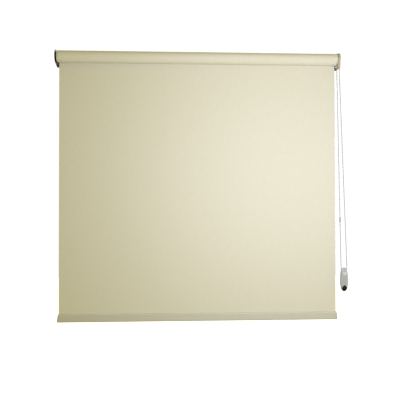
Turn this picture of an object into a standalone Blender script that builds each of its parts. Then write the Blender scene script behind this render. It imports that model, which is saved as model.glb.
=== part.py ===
"""Chain-driven roller blind, let down to its lower stop.

Metres, +Z up. X runs along the roller with the chain at +X, the wall is the plane y = 0 with the blind
in front of it at -y, z = 0 is the height of the roller's axis and x = 0 the middle of the fabric.
"""

import math

import bmesh
import bpy
from mathutils import Vector

# ---------------------------------------------------------------- driving dimensions

GAP = 0.00035                 # left between neighbouring pieces
FACETS = 40                   # sides of a large round piece
SMALL_FACETS = 20             # sides of a small round piece

FABRIC_WIDTH = 1.200
FABRIC_DROP = 1.0986          # roller axis down to the top of the bottom bar
FABRIC_THICKNESS = 0.00045
FABRIC_TURNS = 7              # layers on the tube with the blind let down
FABRIC_IN_BAR = 0.009         # fabric that runs down inside the bottom bar

TUBE_RADIUS = 0.0215
TUBE_WALL = 0.0012
TUBE_OVERHANG = 0.0006        # tube past the fabric at each end
KEY_WIDTH = 0.0070            # groove along the tube that takes the fabric's strip
KEY_DEPTH = 0.0030
STRIP_LENGTH = 1.180

PROJECTION = 0.045            # wall to roller axis
FLANGE_LIP = 0.0027           # end flanges past the tube's surface
END_PLUG_FLANGE = 0.0025
CROWN_FLANGE = 0.0013
PLUG_LENGTH = 0.040           # how far the idle end's plug reaches from its flange into the tube
PLUG_FACE = 0.004             # plug's closed outer end

PLATE = 0.0016                # bracket steel
NOSE_MARGIN = 0.0025          # bracket nose past the roll of fabric
BRACKET_RISE = 0.0065         # wall flange above the nose's height
BRACKET_FALL = 0.009          # and below it
WALL_FLANGE_REACH = 0.030
SCREW_SLOT_WIDTH = 0.0052
SCREW_SLOT_LENGTH = 0.012
SCREW_SLOT_HEIGHT = 0.021     # above and below the roller axis
COVER_MARGIN = 0.001          # covers past the bracket nose
COVER_WALL = 0.0011
IDLE_COVER_WALL = 0.0021
CUTTER_EXTRA = 0.001          # how far a cutter runs past the face it opens
IDLE_GAP = 0.0030             # idle flange to idle bracket
GUARD_WALL = 0.0010
GUARD_SKIRT = 0.0012
GUARD_DROP = 0.0075           # guard's flat bottom below its round top's radius

PIN_RADIUS = 0.004
PIN_COLLAR = 0.0021           # collar past the pin
PIN_COLLAR_THICKNESS = 0.002
PIN_CHAMFER = 0.001
PIN_CHAMBER = 0.0005          # room round the collar
PIN_TAIL_RADIUS = 0.0026
PIN_TAIL_LENGTH = 0.029
PIN_SPRING_TURNS = 9
PIN_SPRING_WIRE = 0.0009
PLUG_CAP_STUB = 0.005         # part of the plug's cap that the spring bears on
PLUG_CAP_RADIUS = 0.010
PLUG_CAP_THICKNESS = 0.0015
BUSH_WALL = 0.0025
BUSH_FLANGE = 0.003           # bush's flange past its barrel
BUSH_FLANGE_THICKNESS = 0.0014

BEAD = 0.0045                 # chain bead
BEAD_PITCH = 0.006
SPROCKET_POCKETS = 18
SPROCKET_RIM = 0.001          # sprocket rim past the beads' pitch circle
SPROCKET_LIP = 0.00045        # thickness of the sprocket's rim beside the chain
GROOVE_SHOULDER = 0.0013      # chain groove's sides start this far above its floor
GROOVE_RELIEF = 0.0002        # floor below the beads
HUB_WALL = 0.00425
HUB_LENGTH = 0.017            # from the chain's plane into the tube
POST_RADIUS = 0.008
POST_LENGTH = 0.043
POST_BASE = 0.0043            # base disc past the post
HOOK_WIDTH = 0.004
HOOK_HEIGHT = 0.008
HOOK_INSET = 0.0008           # hooks inside the base disc's edge
HOOK_ROOT = 0.0004            # and how deep they start in it
PLATE_HOLE_RADIUS = 0.004     # middle of the control bracket
CROWN_PLAY = 0.0005           # crown round the sprocket's hub
CLUTCH_SCREW_RADIUS = 0.00225
CLUTCH_SCREW_REACH = 0.020    # screw hole's depth in the post
SCREW_END_ROOM = 0.001        # hole past the screw's end
SCREW_HEAD_RADIUS = 0.0046
SCREW_HEAD_HEIGHT = 0.0024
WASHER_THICKNESS = 0.0012
WASHER_MARGIN = 0.0015        # washer past the crown's bore
WRAP_WIRE = 0.0011
WRAP_PLAY = 0.0002
WRAP_TURNS = 5
WRAP_INSET = 0.003            # inner wrap spring from the post's end
WRAP_SPACING = 0.002          # between the two wrap springs

BAR_HEIGHT = 0.0343
BAR_DEPTH = 0.011
BAR_NECK = 0.0048             # depth across the lips at the top
BAR_WALL = 0.0013
BAR_SLOT = 0.0016
BAR_SHOULDER = 0.006          # lips down to the bar's full depth
HEM_STRIP = 0.004
HEM_STRIP_INSET = 0.012       # strip's ends inside the bar's
CAP_THICKNESS = 0.0058
CAP_TONGUE = 0.010
TONGUE_TOP = 0.015            # below the bar's lips, clear of the hem strip

WEIGHT_CENTRE = (0.630, -0.045, -0.9557)
WEIGHT_HEIGHT = 0.103
WEIGHT_WIDTH = 0.035
WEIGHT_DEPTH = 0.016
WEIGHT_WALL = 0.0016
SKIN_ROUNDING = ((0, 0.0034), (0.0012, 0.0010), (0.0036, 0))      # outside: inset, below the face
HOLLOW_ROUNDING = ((0, 0.0042), (0.0022, 0.0016))                 # inside, past the wall
PULLEY_BEADS = 10             # beads round the pulley's pitch circle
PULLEY_BELOW_TOP = 0.0258
AXLE_RADIUS = 0.002
AXLE_HEAD_RADIUS = 0.0036
AXLE_HEAD_HEIGHT = 0.0009
PULLEY_LIP = 0.0009           # thickness of the pulley's rims
BALLAST_WIDTH = 0.021
BALLAST_HEIGHT = 0.026
BALLAST_BELOW_AXLE = 0.033
BADGE_SPOTS = ((-0.0088, 0.0040), (0.0088, 0.0040), (0.0010, -0.0068))     # holes in the pulley's cover
BADGE_HOLE_RADIUS = 0.0013
BADGE_CORNER_RADIUS = 0.0030
BADGE_THICKNESS = 0.0010
TIP_WIDTH = 0.022
TIP_HEIGHT = 0.027
TIP_PROUD = 0.0006            # tip past the shells' faces
TIP_ROUNDING = ((-0.0030, 0), (-0.0008, 0.0010), (0, 0.0028))     # grown, below its face

STOP_RADIUS = 0.0048
STOP_LENGTH = 0.010
STOP_TRAVEL = 0.648           # six turns of eighteen beads
STOP_BELOW_GUARD = 0.0008
CONNECTOR_LENGTH = 0.013
CONNECTOR_RADIUS = 0.0035
CONNECTOR_TAPER = 0.002
CLIP_LIP = 0.0006             # thinnest part of the connector at its ends
STRAIGHT_RUN = 0.013          # strands that run straight above their first point

# the hanging loop of chain: down the front strand, round the pulley and up the rear one; this route and the
# weight's centre are given for a sprocket at HANG_FROM in x and y, and move with it
HANG_FROM = (0.6070, -0.045)
CHAIN_ROUTE = [
    (0.60808, -0.06169, -0.0330), (0.61109, -0.06027, -0.1085), (0.61708, -0.05745, -0.2585),
    (0.62307, -0.05463, -0.4085), (0.62906, -0.05180, -0.5585), (0.63505, -0.04898, -0.7085),
    (0.64104, -0.04616, -0.8585), (0.64224, -0.04559, -0.8885), (0.64265, -0.04530, -0.9020),
    (0.64215, -0.04500, -0.9110), (0.64080, -0.04500, -0.9210), (0.63955, -0.04500, -0.9300),
    (0.63675, -0.04500, -0.93675), (0.63000, -0.04500, -0.93955), (0.62325, -0.04500, -0.93675),
    (0.62045, -0.04500, -0.9300), (0.61918, -0.04500, -0.9210), (0.61783, -0.04500, -0.9110),
    (0.61733, -0.04470, -0.9020), (0.61717, -0.04441, -0.8885), (0.61682, -0.04384, -0.8585),
    (0.61509, -0.04102, -0.7085), (0.61337, -0.03820, -0.5585), (0.61164, -0.03537, -0.4085),
    (0.60991, -0.03255, -0.2585), (0.60818, -0.02973, -0.1085), (0.60731, -0.02831, -0.0330),
]

# ---------------------------------------------------------------- sizes that follow from those

AXIS_Y = -PROJECTION
HALF_FABRIC = FABRIC_WIDTH / 2
TUBE_END = HALF_FABRIC + TUBE_OVERHANG
TUBE_BORE = TUBE_RADIUS - TUBE_WALL
ROLL_INNER = TUBE_RADIUS + GAP
ROLL_OUTER = ROLL_INNER + FABRIC_TURNS * FABRIC_THICKNESS
FLANGE_RADIUS = TUBE_RADIUS + FLANGE_LIP
BRACKET_NOSE = ROLL_OUTER + NOSE_MARGIN
BRACKET_TOP = BRACKET_NOSE + BRACKET_RISE
BRACKET_BOTTOM = BRACKET_NOSE + BRACKET_FALL
COVER_RADIUS = BRACKET_NOSE + COVER_MARGIN
SHEET_BACK = ROLL_OUTER + GAP + FABRIC_THICKNESS      # behind the axis
SHEET_MIDDLE = SHEET_BACK - FABRIC_THICKNESS / 2
PLUG_RADIUS = TUBE_BORE - GAP
KEY_FLOOR = math.sqrt(TUBE_RADIUS ** 2 - KEY_WIDTH ** 2 / 4) - KEY_DEPTH

IDLE_FLANGE_OUT = TUBE_END + GAP + END_PLUG_FLANGE
IDLE_PLATE_IN = IDLE_FLANGE_OUT + IDLE_GAP
IDLE_PLATE_OUT = IDLE_PLATE_IN + PLATE
PIN_COLLAR_RADIUS = PIN_RADIUS + PIN_COLLAR
PIN_CHAMBER_RADIUS = PIN_COLLAR_RADIUS + PIN_CHAMBER
BUSH_RADIUS = PIN_RADIUS + GAP + BUSH_WALL

CHAIN_RADIUS = BEAD / 2
PITCH_RADIUS = SPROCKET_POCKETS * BEAD_PITCH / (2 * math.pi)
SPROCKET_FLANGE = PITCH_RADIUS + SPROCKET_RIM
SPROCKET_GROOVE = CHAIN_RADIUS + GAP
GUARD_BOTTOM = COVER_RADIUS + GUARD_DROP
GUARD_BOTTOM_HALF = PITCH_RADIUS + CHAIN_RADIUS + GAP + GUARD_SKIRT
HUB_RADIUS = POST_RADIUS + GAP + HUB_WALL
POST_BASE_RADIUS = POST_RADIUS + POST_BASE
CROWN_BORE = HUB_RADIUS + CROWN_PLAY
HOOK_Y = POST_BASE_RADIUS - HOOK_WIDTH / 2 - HOOK_INSET
SPROCKET_HALF = SPROCKET_GROOVE + SPROCKET_LIP
CROWN_OUT = TUBE_END + GAP + CROWN_FLANGE
GUARD_IN = CROWN_OUT + GAP
SPROCKET_X = GUARD_IN + GUARD_WALL + GAP + SPROCKET_HALF
GUARD_OUT = SPROCKET_X + SPROCKET_HALF
CONTROL_PLATE_IN = GUARD_OUT + GAP
CONTROL_PLATE_OUT = CONTROL_PLATE_IN + PLATE
CONTROL_COVER_OUT = CONTROL_PLATE_OUT + GAP + COVER_WALL
POST_BASE_IN = SPROCKET_X + CHAIN_RADIUS / 2
POST_END = SPROCKET_X - POST_LENGTH
CROWN_INNER_END = POST_END
HANG_SHIFT = Vector((SPROCKET_X - HANG_FROM[0], AXIS_Y - HANG_FROM[1], 0))
STRAND_ROUTE = [Vector(point) + HANG_SHIFT for point in CHAIN_ROUTE]

PULLEY_RADIUS = PULLEY_BEADS * BEAD_PITCH / (2 * math.pi)
PULLEY_Z = WEIGHT_HEIGHT / 2 - PULLEY_BELOW_TOP       # above the weight's centre

# ---------------------------------------------------------------- materials and placing


def material(name, colour, roughness, metallic=0.0):
    made = bpy.data.materials.new(name)
    made.use_nodes = True
    shader = made.node_tree.nodes["Principled BSDF"]
    shader.inputs["Base Color"].default_value = (*colour, 1.0)
    shader.inputs["Roughness"].default_value = roughness
    shader.inputs["Metallic"].default_value = metallic
    made.diffuse_color = (*colour, 1.0)
    return made


def empty(name, location):
    made = bpy.data.objects.new(name, None)
    made.location = location
    bpy.context.collection.objects.link(made)
    return made


def finish(name, bm, surface, parent=None, location=(0, 0, 0), sharp=35):
    """Turn a bmesh into a named object with its normals out and its round faces smooth."""
    bmesh.ops.recalc_face_normals(bm, faces=bm.faces[:])
    mesh = bpy.data.meshes.new(name)
    bm.to_mesh(mesh)
    bm.free()
    mesh.shade_smooth()
    mesh.set_sharp_from_angle(angle=math.radians(sharp))
    made = bpy.data.objects.new(name, mesh)
    if surface:
        mesh.materials.append(surface)
    made.parent = parent
    made.location = location
    bpy.context.collection.objects.link(made)
    return made


# ---------------------------------------------------------------- shapes


def arc(radius, start, end, steps, centre=(0, 0)):
    """Points on an arc, with its angles in degrees."""
    turns = [math.radians(start + (end - start) * i / steps) for i in range(steps + 1)]
    return [(centre[0] + radius * math.cos(a), centre[1] + radius * math.sin(a)) for a in turns]


def box_outline(width, height, centre=(0, 0)):
    u, v = width / 2, height / 2
    return [(centre[0] + a, centre[1] + b) for a, b in ((-u, -v), (u, -v), (u, v), (-u, v))]


def slot_outline(length, width, centre):
    """A slot with round ends, its length along the first axis."""
    straight = (length - width) / 2
    right = arc(width / 2, -90, 90, 6, (centre[0] + straight, centre[1]))
    left = arc(width / 2, 90, 270, 6, (centre[0] - straight, centre[1]))
    return right + left


def prism(name, outline, axis, start, end, surface=None, holes=(), parent=None, location=(0, 0, 0)):
    """An outline with holes, extruded along X, Y or Z from start to end."""
    bm = bmesh.new()
    order = {"X": lambda u, v: (start, u, v), "Y": lambda u, v: (u, start, v),
             "Z": lambda u, v: (u, v, start)}
    for loop in (outline, *holes):
        points = [bm.verts.new(order[axis](u, v)) for u, v in loop]
        for first, second in zip(points, points[1:] + points[:1]):
            bm.edges.new((first, second))
    bmesh.ops.triangle_fill(bm, use_beauty=True, use_dissolve=False, edges=bm.edges[:])
    grown = bmesh.ops.extrude_face_region(bm, geom=bm.faces[:])
    lifted = [item for item in grown["geom"] if isinstance(item, bmesh.types.BMVert)]
    shift = {"X": (end - start, 0, 0), "Y": (0, end - start, 0), "Z": (0, 0, end - start)}[axis]
    bmesh.ops.translate(bm, verts=lifted, vec=shift)
    return finish(name, bm, surface, parent, location)


def turned(name, profile, surface=None, facets=FACETS, parent=None, location=(0, 0, 0), axis=(1, 0, 0)):
    """A closed profile of (along, radius) points spun about the axis, with the seam merged."""
    along = Vector(axis)
    out = along.orthogonal().normalized()
    bm = bmesh.new()
    points = [bm.verts.new(along * step + out * radius) for step, radius in profile]
    edges = []
    for first, second in zip(range(len(points)), [*range(1, len(points)), 0]):
        if profile[first][1] or profile[second][1]:
            edges.append(bm.edges.new((points[first], points[second])))
    bmesh.ops.spin(bm, geom=points + edges, cent=(0, 0, 0), axis=along, angle=2 * math.pi,
                   steps=facets, use_merge=True)
    bmesh.ops.remove_doubles(bm, verts=bm.verts[:], dist=1e-6)
    return finish(name, bm, surface, parent, location)


def ring_profile(start, end, inner, outer):
    return [(start, inner), (end, inner), (end, outer), (start, outer)]


def smooth_route(route, steps):
    """A Catmull-Rom curve through the route, each span cut into its own number of steps."""
    points = [Vector(p) for p in route]
    line = []
    for i in range(len(points) - 1):
        before = points[max(i - 1, 0)]
        start, end = points[i], points[i + 1]
        after = points[min(i + 2, len(points) - 1)]
        for k in range(steps[i]):
            t = k / steps[i]
            line.append(0.5 * (2 * start + (end - before) * t
                               + (2 * before - 5 * start + 4 * end - after) * t ** 2
                               + (3 * start - before - 3 * end + after) * t ** 3))
    return [*line, points[-1]]


def tube_along(name, line, radius, surface=None, resolution=2, parent=None):
    """A round cord along a polyline, with closed ends."""
    curve = bpy.data.curves.new(name, "CURVE")
    curve.dimensions = "3D"
    curve.bevel_depth = radius
    curve.bevel_resolution = resolution
    curve.use_fill_caps = True
    spline = curve.splines.new("POLY")
    spline.points.add(len(line) - 1)
    for point, place in zip(spline.points, line):
        point.co = (*place, 1.0)
    if surface:
        curve.materials.append(surface)
    made = bpy.data.objects.new(name, curve)
    made.parent = parent
    bpy.context.collection.objects.link(made)
    return made


def as_mesh(made):
    """The same shape as a mesh object, for use as a cutter."""
    evaluated = made.evaluated_get(bpy.context.evaluated_depsgraph_get())
    mesh = bpy.data.meshes.new_from_object(evaluated)
    copy = bpy.data.objects.new(made.name + "_cutter", mesh)
    bpy.context.collection.objects.link(copy)
    bpy.data.objects.remove(made)
    return copy


def coil(name, radius, wire, turns, start, length, surface, parent=None, location=(0, 0, 0)):
    """A helical spring about X."""
    per_turn = 10
    count = turns * per_turn
    line = []
    for i in range(count + 1):
        angle = 2 * math.pi * i / per_turn
        along = start + wire / 2 + (length - wire) * i / count
        line.append((along, radius * math.cos(angle), radius * math.sin(angle)))
    made = tube_along(name, line, wire / 2, surface, 1, parent)
    made.location = location
    return made


def combine(target, other, operation):
    """A Boolean with a helper, which is itself left out of the model."""
    other.hide_render = True
    other.display_type = "WIRE"
    step = target.modifiers.new(operation.lower(), "BOOLEAN")
    step.operation = operation
    step.object = other
    step.solver = "EXACT"
    return target


def cut(target, other):
    return combine(target, other, "DIFFERENCE")


def add(target, other):
    return combine(target, other, "UNION")


# ---------------------------------------------------------------- roller


def keyed_outline(radius, width, floor):
    """A circle with a flat-bottomed groove at its top, in (y, z)."""
    half = math.degrees(math.asin(width / 2 / radius))
    edge = arc(radius, 90 + half, 450 - half, FACETS)
    return [*edge, (width / 2, floor), (-width / 2, floor)]


def key_cutter(name, start, end, parent):
    """Clears the inward rib of the tube's groove."""
    width = KEY_WIDTH + 2 * TUBE_WALL + 2 * GAP
    floor = KEY_FLOOR - TUBE_WALL - GAP
    outline = box_outline(width, TUBE_RADIUS - floor, (0, (TUBE_RADIUS + floor) / 2))
    return prism(name, outline, "X", start, end, parent=parent)


def make_roller(axle):
    outer = keyed_outline(TUBE_RADIUS, KEY_WIDTH, KEY_FLOOR)
    inner = keyed_outline(TUBE_BORE, KEY_WIDTH + 2 * TUBE_WALL, KEY_FLOOR - TUBE_WALL)
    prism("roller_tube", outer, "X", -TUBE_END, TUBE_END, ALUMINIUM, [inner], axle)

    layers = ring_profile(-HALF_FABRIC, HALF_FABRIC, ROLL_INNER, ROLL_OUTER)
    turned("fabric_roll", layers, FABRIC, parent=axle)

    height = KEY_DEPTH - 2 * GAP
    strip = box_outline(KEY_WIDTH - 2 * GAP, height, (0, KEY_FLOOR + GAP + height / 2))
    prism("fabric_spline", strip, "X", -STRIP_LENGTH / 2, STRIP_LENGTH / 2, CLEAR_PLASTIC, parent=axle)


def make_sheet():
    outline = box_outline(FABRIC_THICKNESS, FABRIC_DROP + FABRIC_IN_BAR,
                          (AXIS_Y + SHEET_MIDDLE, -(FABRIC_DROP + FABRIC_IN_BAR) / 2))
    prism("fabric_sheet", outline, "X", -HALF_FABRIC, HALF_FABRIC, FABRIC)


# ---------------------------------------------------------------- brackets and covers


def bracket_outline(nose, top, bottom, rear):
    """A nose about the roller axis with flanks that run straight back to the wall, in (y, z)."""
    def touch(height):
        spread = math.acos(nose / math.hypot(rear, height))
        return math.degrees(math.atan2(height, rear)), math.degrees(spread)
    up, up_spread = touch(top)
    down, down_spread = touch(-bottom)
    edge = arc(nose, up + up_spread, 360 + down - down_spread, 24)
    return [(rear, top), *edge, (rear, -bottom)]


def make_bracket(name, side, plate_in, axle, hole, slots=()):
    """Steel plate beside the roller with a wall flange that runs in behind the fabric."""
    rear = PROJECTION - GAP
    outline = bracket_outline(BRACKET_NOSE, BRACKET_TOP, BRACKET_BOTTOM, rear)
    holes = [arc(hole, 0, 340, 17), *slots]
    plate = prism(name, outline, "X", side * plate_in, side * (plate_in + PLATE), STEEL_BLACK, holes, axle)

    inner = side * (plate_in - WALL_FLANGE_REACH)
    outer = side * (plate_in + PLATE)
    middle = ((inner + outer) / 2, (BRACKET_TOP - BRACKET_BOTTOM) / 2)
    flange = box_outline(abs(outer - inner), BRACKET_TOP + BRACKET_BOTTOM, middle)
    slot_x = side * (plate_in - WALL_FLANGE_REACH / 2)
    screws = [slot_outline(SCREW_SLOT_LENGTH, SCREW_SLOT_WIDTH, (slot_x, z))
              for z in (SCREW_SLOT_HEIGHT, -SCREW_SLOT_HEIGHT)]
    back = prism(name + "_flange", flange, "Y", PROJECTION - PLATE, PROJECTION, holes=screws, parent=axle)
    return add(plate, back)


def guard_outline(radius, bottom, half):
    """Round over the sprocket, narrowing to a flat bottom where the chain leaves, in (y, z)."""
    corner = math.degrees(math.atan2(-bottom, half))
    spread = math.degrees(math.acos(radius / math.hypot(half, bottom)))
    start = corner + spread
    return [(half, -bottom), *arc(radius, start, 180 - start, 30), (-half, -bottom)]


def make_control_covers(axle):
    outline = guard_outline(COVER_RADIUS, GUARD_BOTTOM, GUARD_BOTTOM_HALF)
    guard = prism("chain_guard", outline, "X", GUARD_IN, GUARD_OUT, CREAM_PLASTIC, parent=axle)
    hollow = guard_outline(COVER_RADIUS - GUARD_SKIRT, GUARD_BOTTOM - GUARD_SKIRT,
                           GUARD_BOTTOM_HALF - GUARD_SKIRT)
    room = prism("guard_room", hollow, "X", GUARD_IN + GUARD_WALL, GUARD_OUT + CUTTER_EXTRA, parent=axle)
    cut(guard, room)
    hub = turned("guard_hub_hole", ring_profile(GUARD_IN - CUTTER_EXTRA, GUARD_IN + GUARD_WALL + CUTTER_EXTRA,
                                                0, HUB_RADIUS + GAP), parent=axle)
    cut(guard, hub)

    cover = prism("control_bracket_cover", outline, "X", CONTROL_PLATE_IN, CONTROL_COVER_OUT,
                  CREAM_PLASTIC, parent=axle)
    cut(cover, plate_pocket("control_cover_pocket", 1, CONTROL_PLATE_IN, axle))
    return guard


def plate_pocket(name, side, plate_in, axle):
    """Room for the bracket plate inside a cover, open towards the roller and the wall."""
    outline = bracket_outline(BRACKET_NOSE + GAP, BRACKET_TOP + GAP, BRACKET_BOTTOM + GAP, PROJECTION)
    return prism(name, outline, "X", side * (plate_in - CUTTER_EXTRA), side * (plate_in + PLATE + GAP),
                 parent=axle)


def make_idle_cover(axle):
    edge = COVER_RADIUS - BRACKET_NOSE
    outline = bracket_outline(COVER_RADIUS, BRACKET_TOP + edge, BRACKET_BOTTOM + edge,
                              PROJECTION - PLATE - GAP)
    cover = prism("idle_bracket_cover", outline, "X", -IDLE_PLATE_IN,
                  -(IDLE_PLATE_OUT + GAP + IDLE_COVER_WALL), BLACK_PLASTIC, parent=axle)
    cut(cover, plate_pocket("idle_cover_pocket", -1, IDLE_PLATE_IN, axle))


# ---------------------------------------------------------------- idle end


def make_idle_end(axle):
    """Plug in the tube's left end, with the sprung pin that sits in the bracket's bush."""
    flange_in = -(TUBE_END + GAP)
    flange_out = -IDLE_FLANGE_OUT
    inner_end = flange_out + PLUG_LENGTH
    shaft_hole = PIN_RADIUS + GAP
    front_wall = flange_in + PLUG_FACE
    plug = turned("idle_end_plug", [
        (flange_out, shaft_hole), (flange_out, FLANGE_RADIUS), (flange_in, FLANGE_RADIUS),
        (flange_in, PLUG_RADIUS), (inner_end, PLUG_RADIUS), (inner_end, PIN_CHAMBER_RADIUS),
        (front_wall, PIN_CHAMBER_RADIUS), (front_wall, shaft_hole)], LIGHT_PLASTIC, parent=axle)
    cut(plug, key_cutter("plug_key", flange_in, inner_end + CUTTER_EXTRA, axle))

    cap_face = inner_end + GAP
    turned("idle_plug_cap", [
        (cap_face - PLUG_CAP_STUB, PIN_TAIL_RADIUS + GAP),
        (cap_face - PLUG_CAP_STUB, PIN_CHAMBER_RADIUS - GAP),
        (cap_face, PIN_CHAMBER_RADIUS - GAP), (cap_face, PLUG_CAP_RADIUS),
        (cap_face + PLUG_CAP_THICKNESS, PLUG_CAP_RADIUS),
        (cap_face + PLUG_CAP_THICKNESS, PIN_TAIL_RADIUS + GAP)], BLACK_PLASTIC, SMALL_FACETS, axle)

    tip = -IDLE_PLATE_OUT
    collar = front_wall + GAP
    collar_end = collar + PIN_COLLAR_THICKNESS
    pin = empty("idle_pin_axis", (0, 0, 0))
    pin.parent = axle
    turned("idle_pin", [
        (tip, 0), (tip, PIN_RADIUS - PIN_CHAMFER), (tip + PIN_CHAMFER, PIN_RADIUS), (collar, PIN_RADIUS),
        (collar, PIN_COLLAR_RADIUS), (collar_end, PIN_COLLAR_RADIUS), (collar_end, PIN_TAIL_RADIUS),
        (collar + PIN_TAIL_LENGTH, PIN_TAIL_RADIUS), (collar + PIN_TAIL_LENGTH, 0)],
        BRIGHT_STEEL, SMALL_FACETS, pin)
    spring_start = collar_end + GAP
    spring_end = cap_face - PLUG_CAP_STUB - GAP
    coil("idle_pin_spring", (PIN_COLLAR_RADIUS + PIN_TAIL_RADIUS) / 2 + GAP, PIN_SPRING_WIRE,
         PIN_SPRING_TURNS, spring_start, spring_end - spring_start, BRIGHT_STEEL, axle)

    bush_in = -(IDLE_PLATE_IN - GAP)
    bush_face = bush_in + BUSH_FLANGE_THICKNESS
    turned("idle_bush", [
        (bush_in, BUSH_RADIUS + BUSH_FLANGE), (bush_face, BUSH_RADIUS + BUSH_FLANGE), (bush_face, shaft_hole),
        (-IDLE_PLATE_OUT, shaft_hole), (-IDLE_PLATE_OUT, BUSH_RADIUS), (bush_in, BUSH_RADIUS)],
        LIGHT_PLASTIC, SMALL_FACETS, axle)
    make_bracket("idle_bracket", -1, IDLE_PLATE_IN, axle, BUSH_RADIUS + GAP)
    make_idle_cover(axle)


# ---------------------------------------------------------------- control end


def make_control_end(axle):
    """Chain clutch: sprocket, wrap springs and crown round a post that the bracket holds still."""
    flange_in = TUBE_END + GAP
    crown = turned("drive_crown", [
        (CROWN_INNER_END, CROWN_BORE), (CROWN_INNER_END, PLUG_RADIUS), (flange_in, PLUG_RADIUS),
        (flange_in, FLANGE_RADIUS), (CROWN_OUT, FLANGE_RADIUS), (CROWN_OUT, CROWN_BORE)],
        LIGHT_PLASTIC, parent=axle)
    cut(crown, key_cutter("crown_key", CROWN_INNER_END - CUTTER_EXTRA, flange_in, axle))

    floor = PITCH_RADIUS - CHAIN_RADIUS - GAP - GROOVE_RELIEF
    shoulder = floor + GROOVE_RELIEF + GROOVE_SHOULDER
    recess = POST_BASE_IN - GAP
    turned("chain_sprocket", [
        (SPROCKET_X - HUB_LENGTH, POST_RADIUS + GAP), (SPROCKET_X - HUB_LENGTH, HUB_RADIUS),
        (SPROCKET_X - SPROCKET_HALF, HUB_RADIUS), (SPROCKET_X - SPROCKET_HALF, SPROCKET_FLANGE),
        (SPROCKET_X - SPROCKET_GROOVE, SPROCKET_FLANGE), (SPROCKET_X - SPROCKET_GROOVE, shoulder),
        (SPROCKET_X - CHAIN_RADIUS / 2, floor), (SPROCKET_X + CHAIN_RADIUS / 2, floor),
        (SPROCKET_X + SPROCKET_GROOVE, shoulder), (SPROCKET_X + SPROCKET_GROOVE, SPROCKET_FLANGE),
        (SPROCKET_X + SPROCKET_HALF, SPROCKET_FLANGE),
        (SPROCKET_X + SPROCKET_HALF, POST_BASE_RADIUS + 2 * GAP),
        (recess, POST_BASE_RADIUS + 2 * GAP), (recess, POST_RADIUS + GAP)], GREY_PLASTIC, parent=axle)

    screw_hole = CLUTCH_SCREW_RADIUS + GAP
    screw_depth = POST_END + CLUTCH_SCREW_REACH
    post = turned("clutch_post", [
        (POST_END, screw_hole), (POST_END, POST_RADIUS), (POST_BASE_IN, POST_RADIUS),
        (POST_BASE_IN, POST_BASE_RADIUS), (GUARD_OUT, POST_BASE_RADIUS), (GUARD_OUT, 0),
        (screw_depth, 0), (screw_depth, screw_hole)], CREAM_PLASTIC, parent=axle)
    hooks = []
    for number, y in enumerate((-HOOK_Y, HOOK_Y)):
        tab = box_outline(HOOK_WIDTH, HOOK_HEIGHT, (y, 0))
        add(post, prism(f"post_hook_{number}", tab, "X", POST_BASE_IN + HOOK_ROOT, CONTROL_PLATE_OUT - GAP,
                        parent=axle))
        hooks.append(box_outline(HOOK_WIDTH + 2 * GAP, HOOK_HEIGHT + 2 * GAP, (y, 0)))
    make_bracket("control_bracket", 1, CONTROL_PLATE_IN, axle, PLATE_HOLE_RADIUS, hooks)

    wrap = POST_RADIUS + GAP + (WRAP_WIRE + WRAP_PLAY) / 2
    length = WRAP_TURNS * (WRAP_WIRE + GAP) + WRAP_WIRE
    first = POST_END + WRAP_INSET
    for name, start in (("wrap_spring_inner", first), ("wrap_spring_outer", first + length + WRAP_SPACING)):
        coil(name, wrap, WRAP_WIRE, WRAP_TURNS, start, length, BRIGHT_STEEL, axle)

    washer = POST_END - GAP
    ring = ring_profile(washer - WASHER_THICKNESS, washer, screw_hole, CROWN_BORE + WASHER_MARGIN)
    turned("clutch_washer", ring, BRIGHT_STEEL, SMALL_FACETS, axle)
    head = washer - WASHER_THICKNESS - GAP
    screw_end = screw_depth - SCREW_END_ROOM
    turned("clutch_screw", [
        (head - SCREW_HEAD_HEIGHT, 0), (head - SCREW_HEAD_HEIGHT, SCREW_HEAD_RADIUS * 0.76),
        (head - SCREW_HEAD_HEIGHT / 2, SCREW_HEAD_RADIUS), (head, SCREW_HEAD_RADIUS),
        (head, CLUTCH_SCREW_RADIUS), (screw_end, CLUTCH_SCREW_RADIUS), (screw_end, 0)],
        BRIGHT_STEEL, SMALL_FACETS, axle)


# ---------------------------------------------------------------- bottom bar


def bar_half(inset, slot):
    """Half of the bar's section as (depth, height) points, from its lips down to the middle of its foot."""
    depth = BAR_DEPTH / 2 - inset
    neck = BAR_NECK / 2 - inset
    foot = -BAR_HEIGHT + BAR_DEPTH / 2
    side = [(neck + (depth - neck) * share, -inset - (BAR_SHOULDER - inset) * fall)
            for share, fall in ((0, 0), (0.40, 0.20), (0.80, 0.60), (1, 1))]
    return [(slot, -inset), *side, *arc(depth, 0, -90, 8, (0, foot))]


def mirrored(half):
    """The whole section: the half, then its mirror image back up, sharing the foot's middle point."""
    return half + [(-u, v) for u, v in reversed(half[:-1])]


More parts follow.
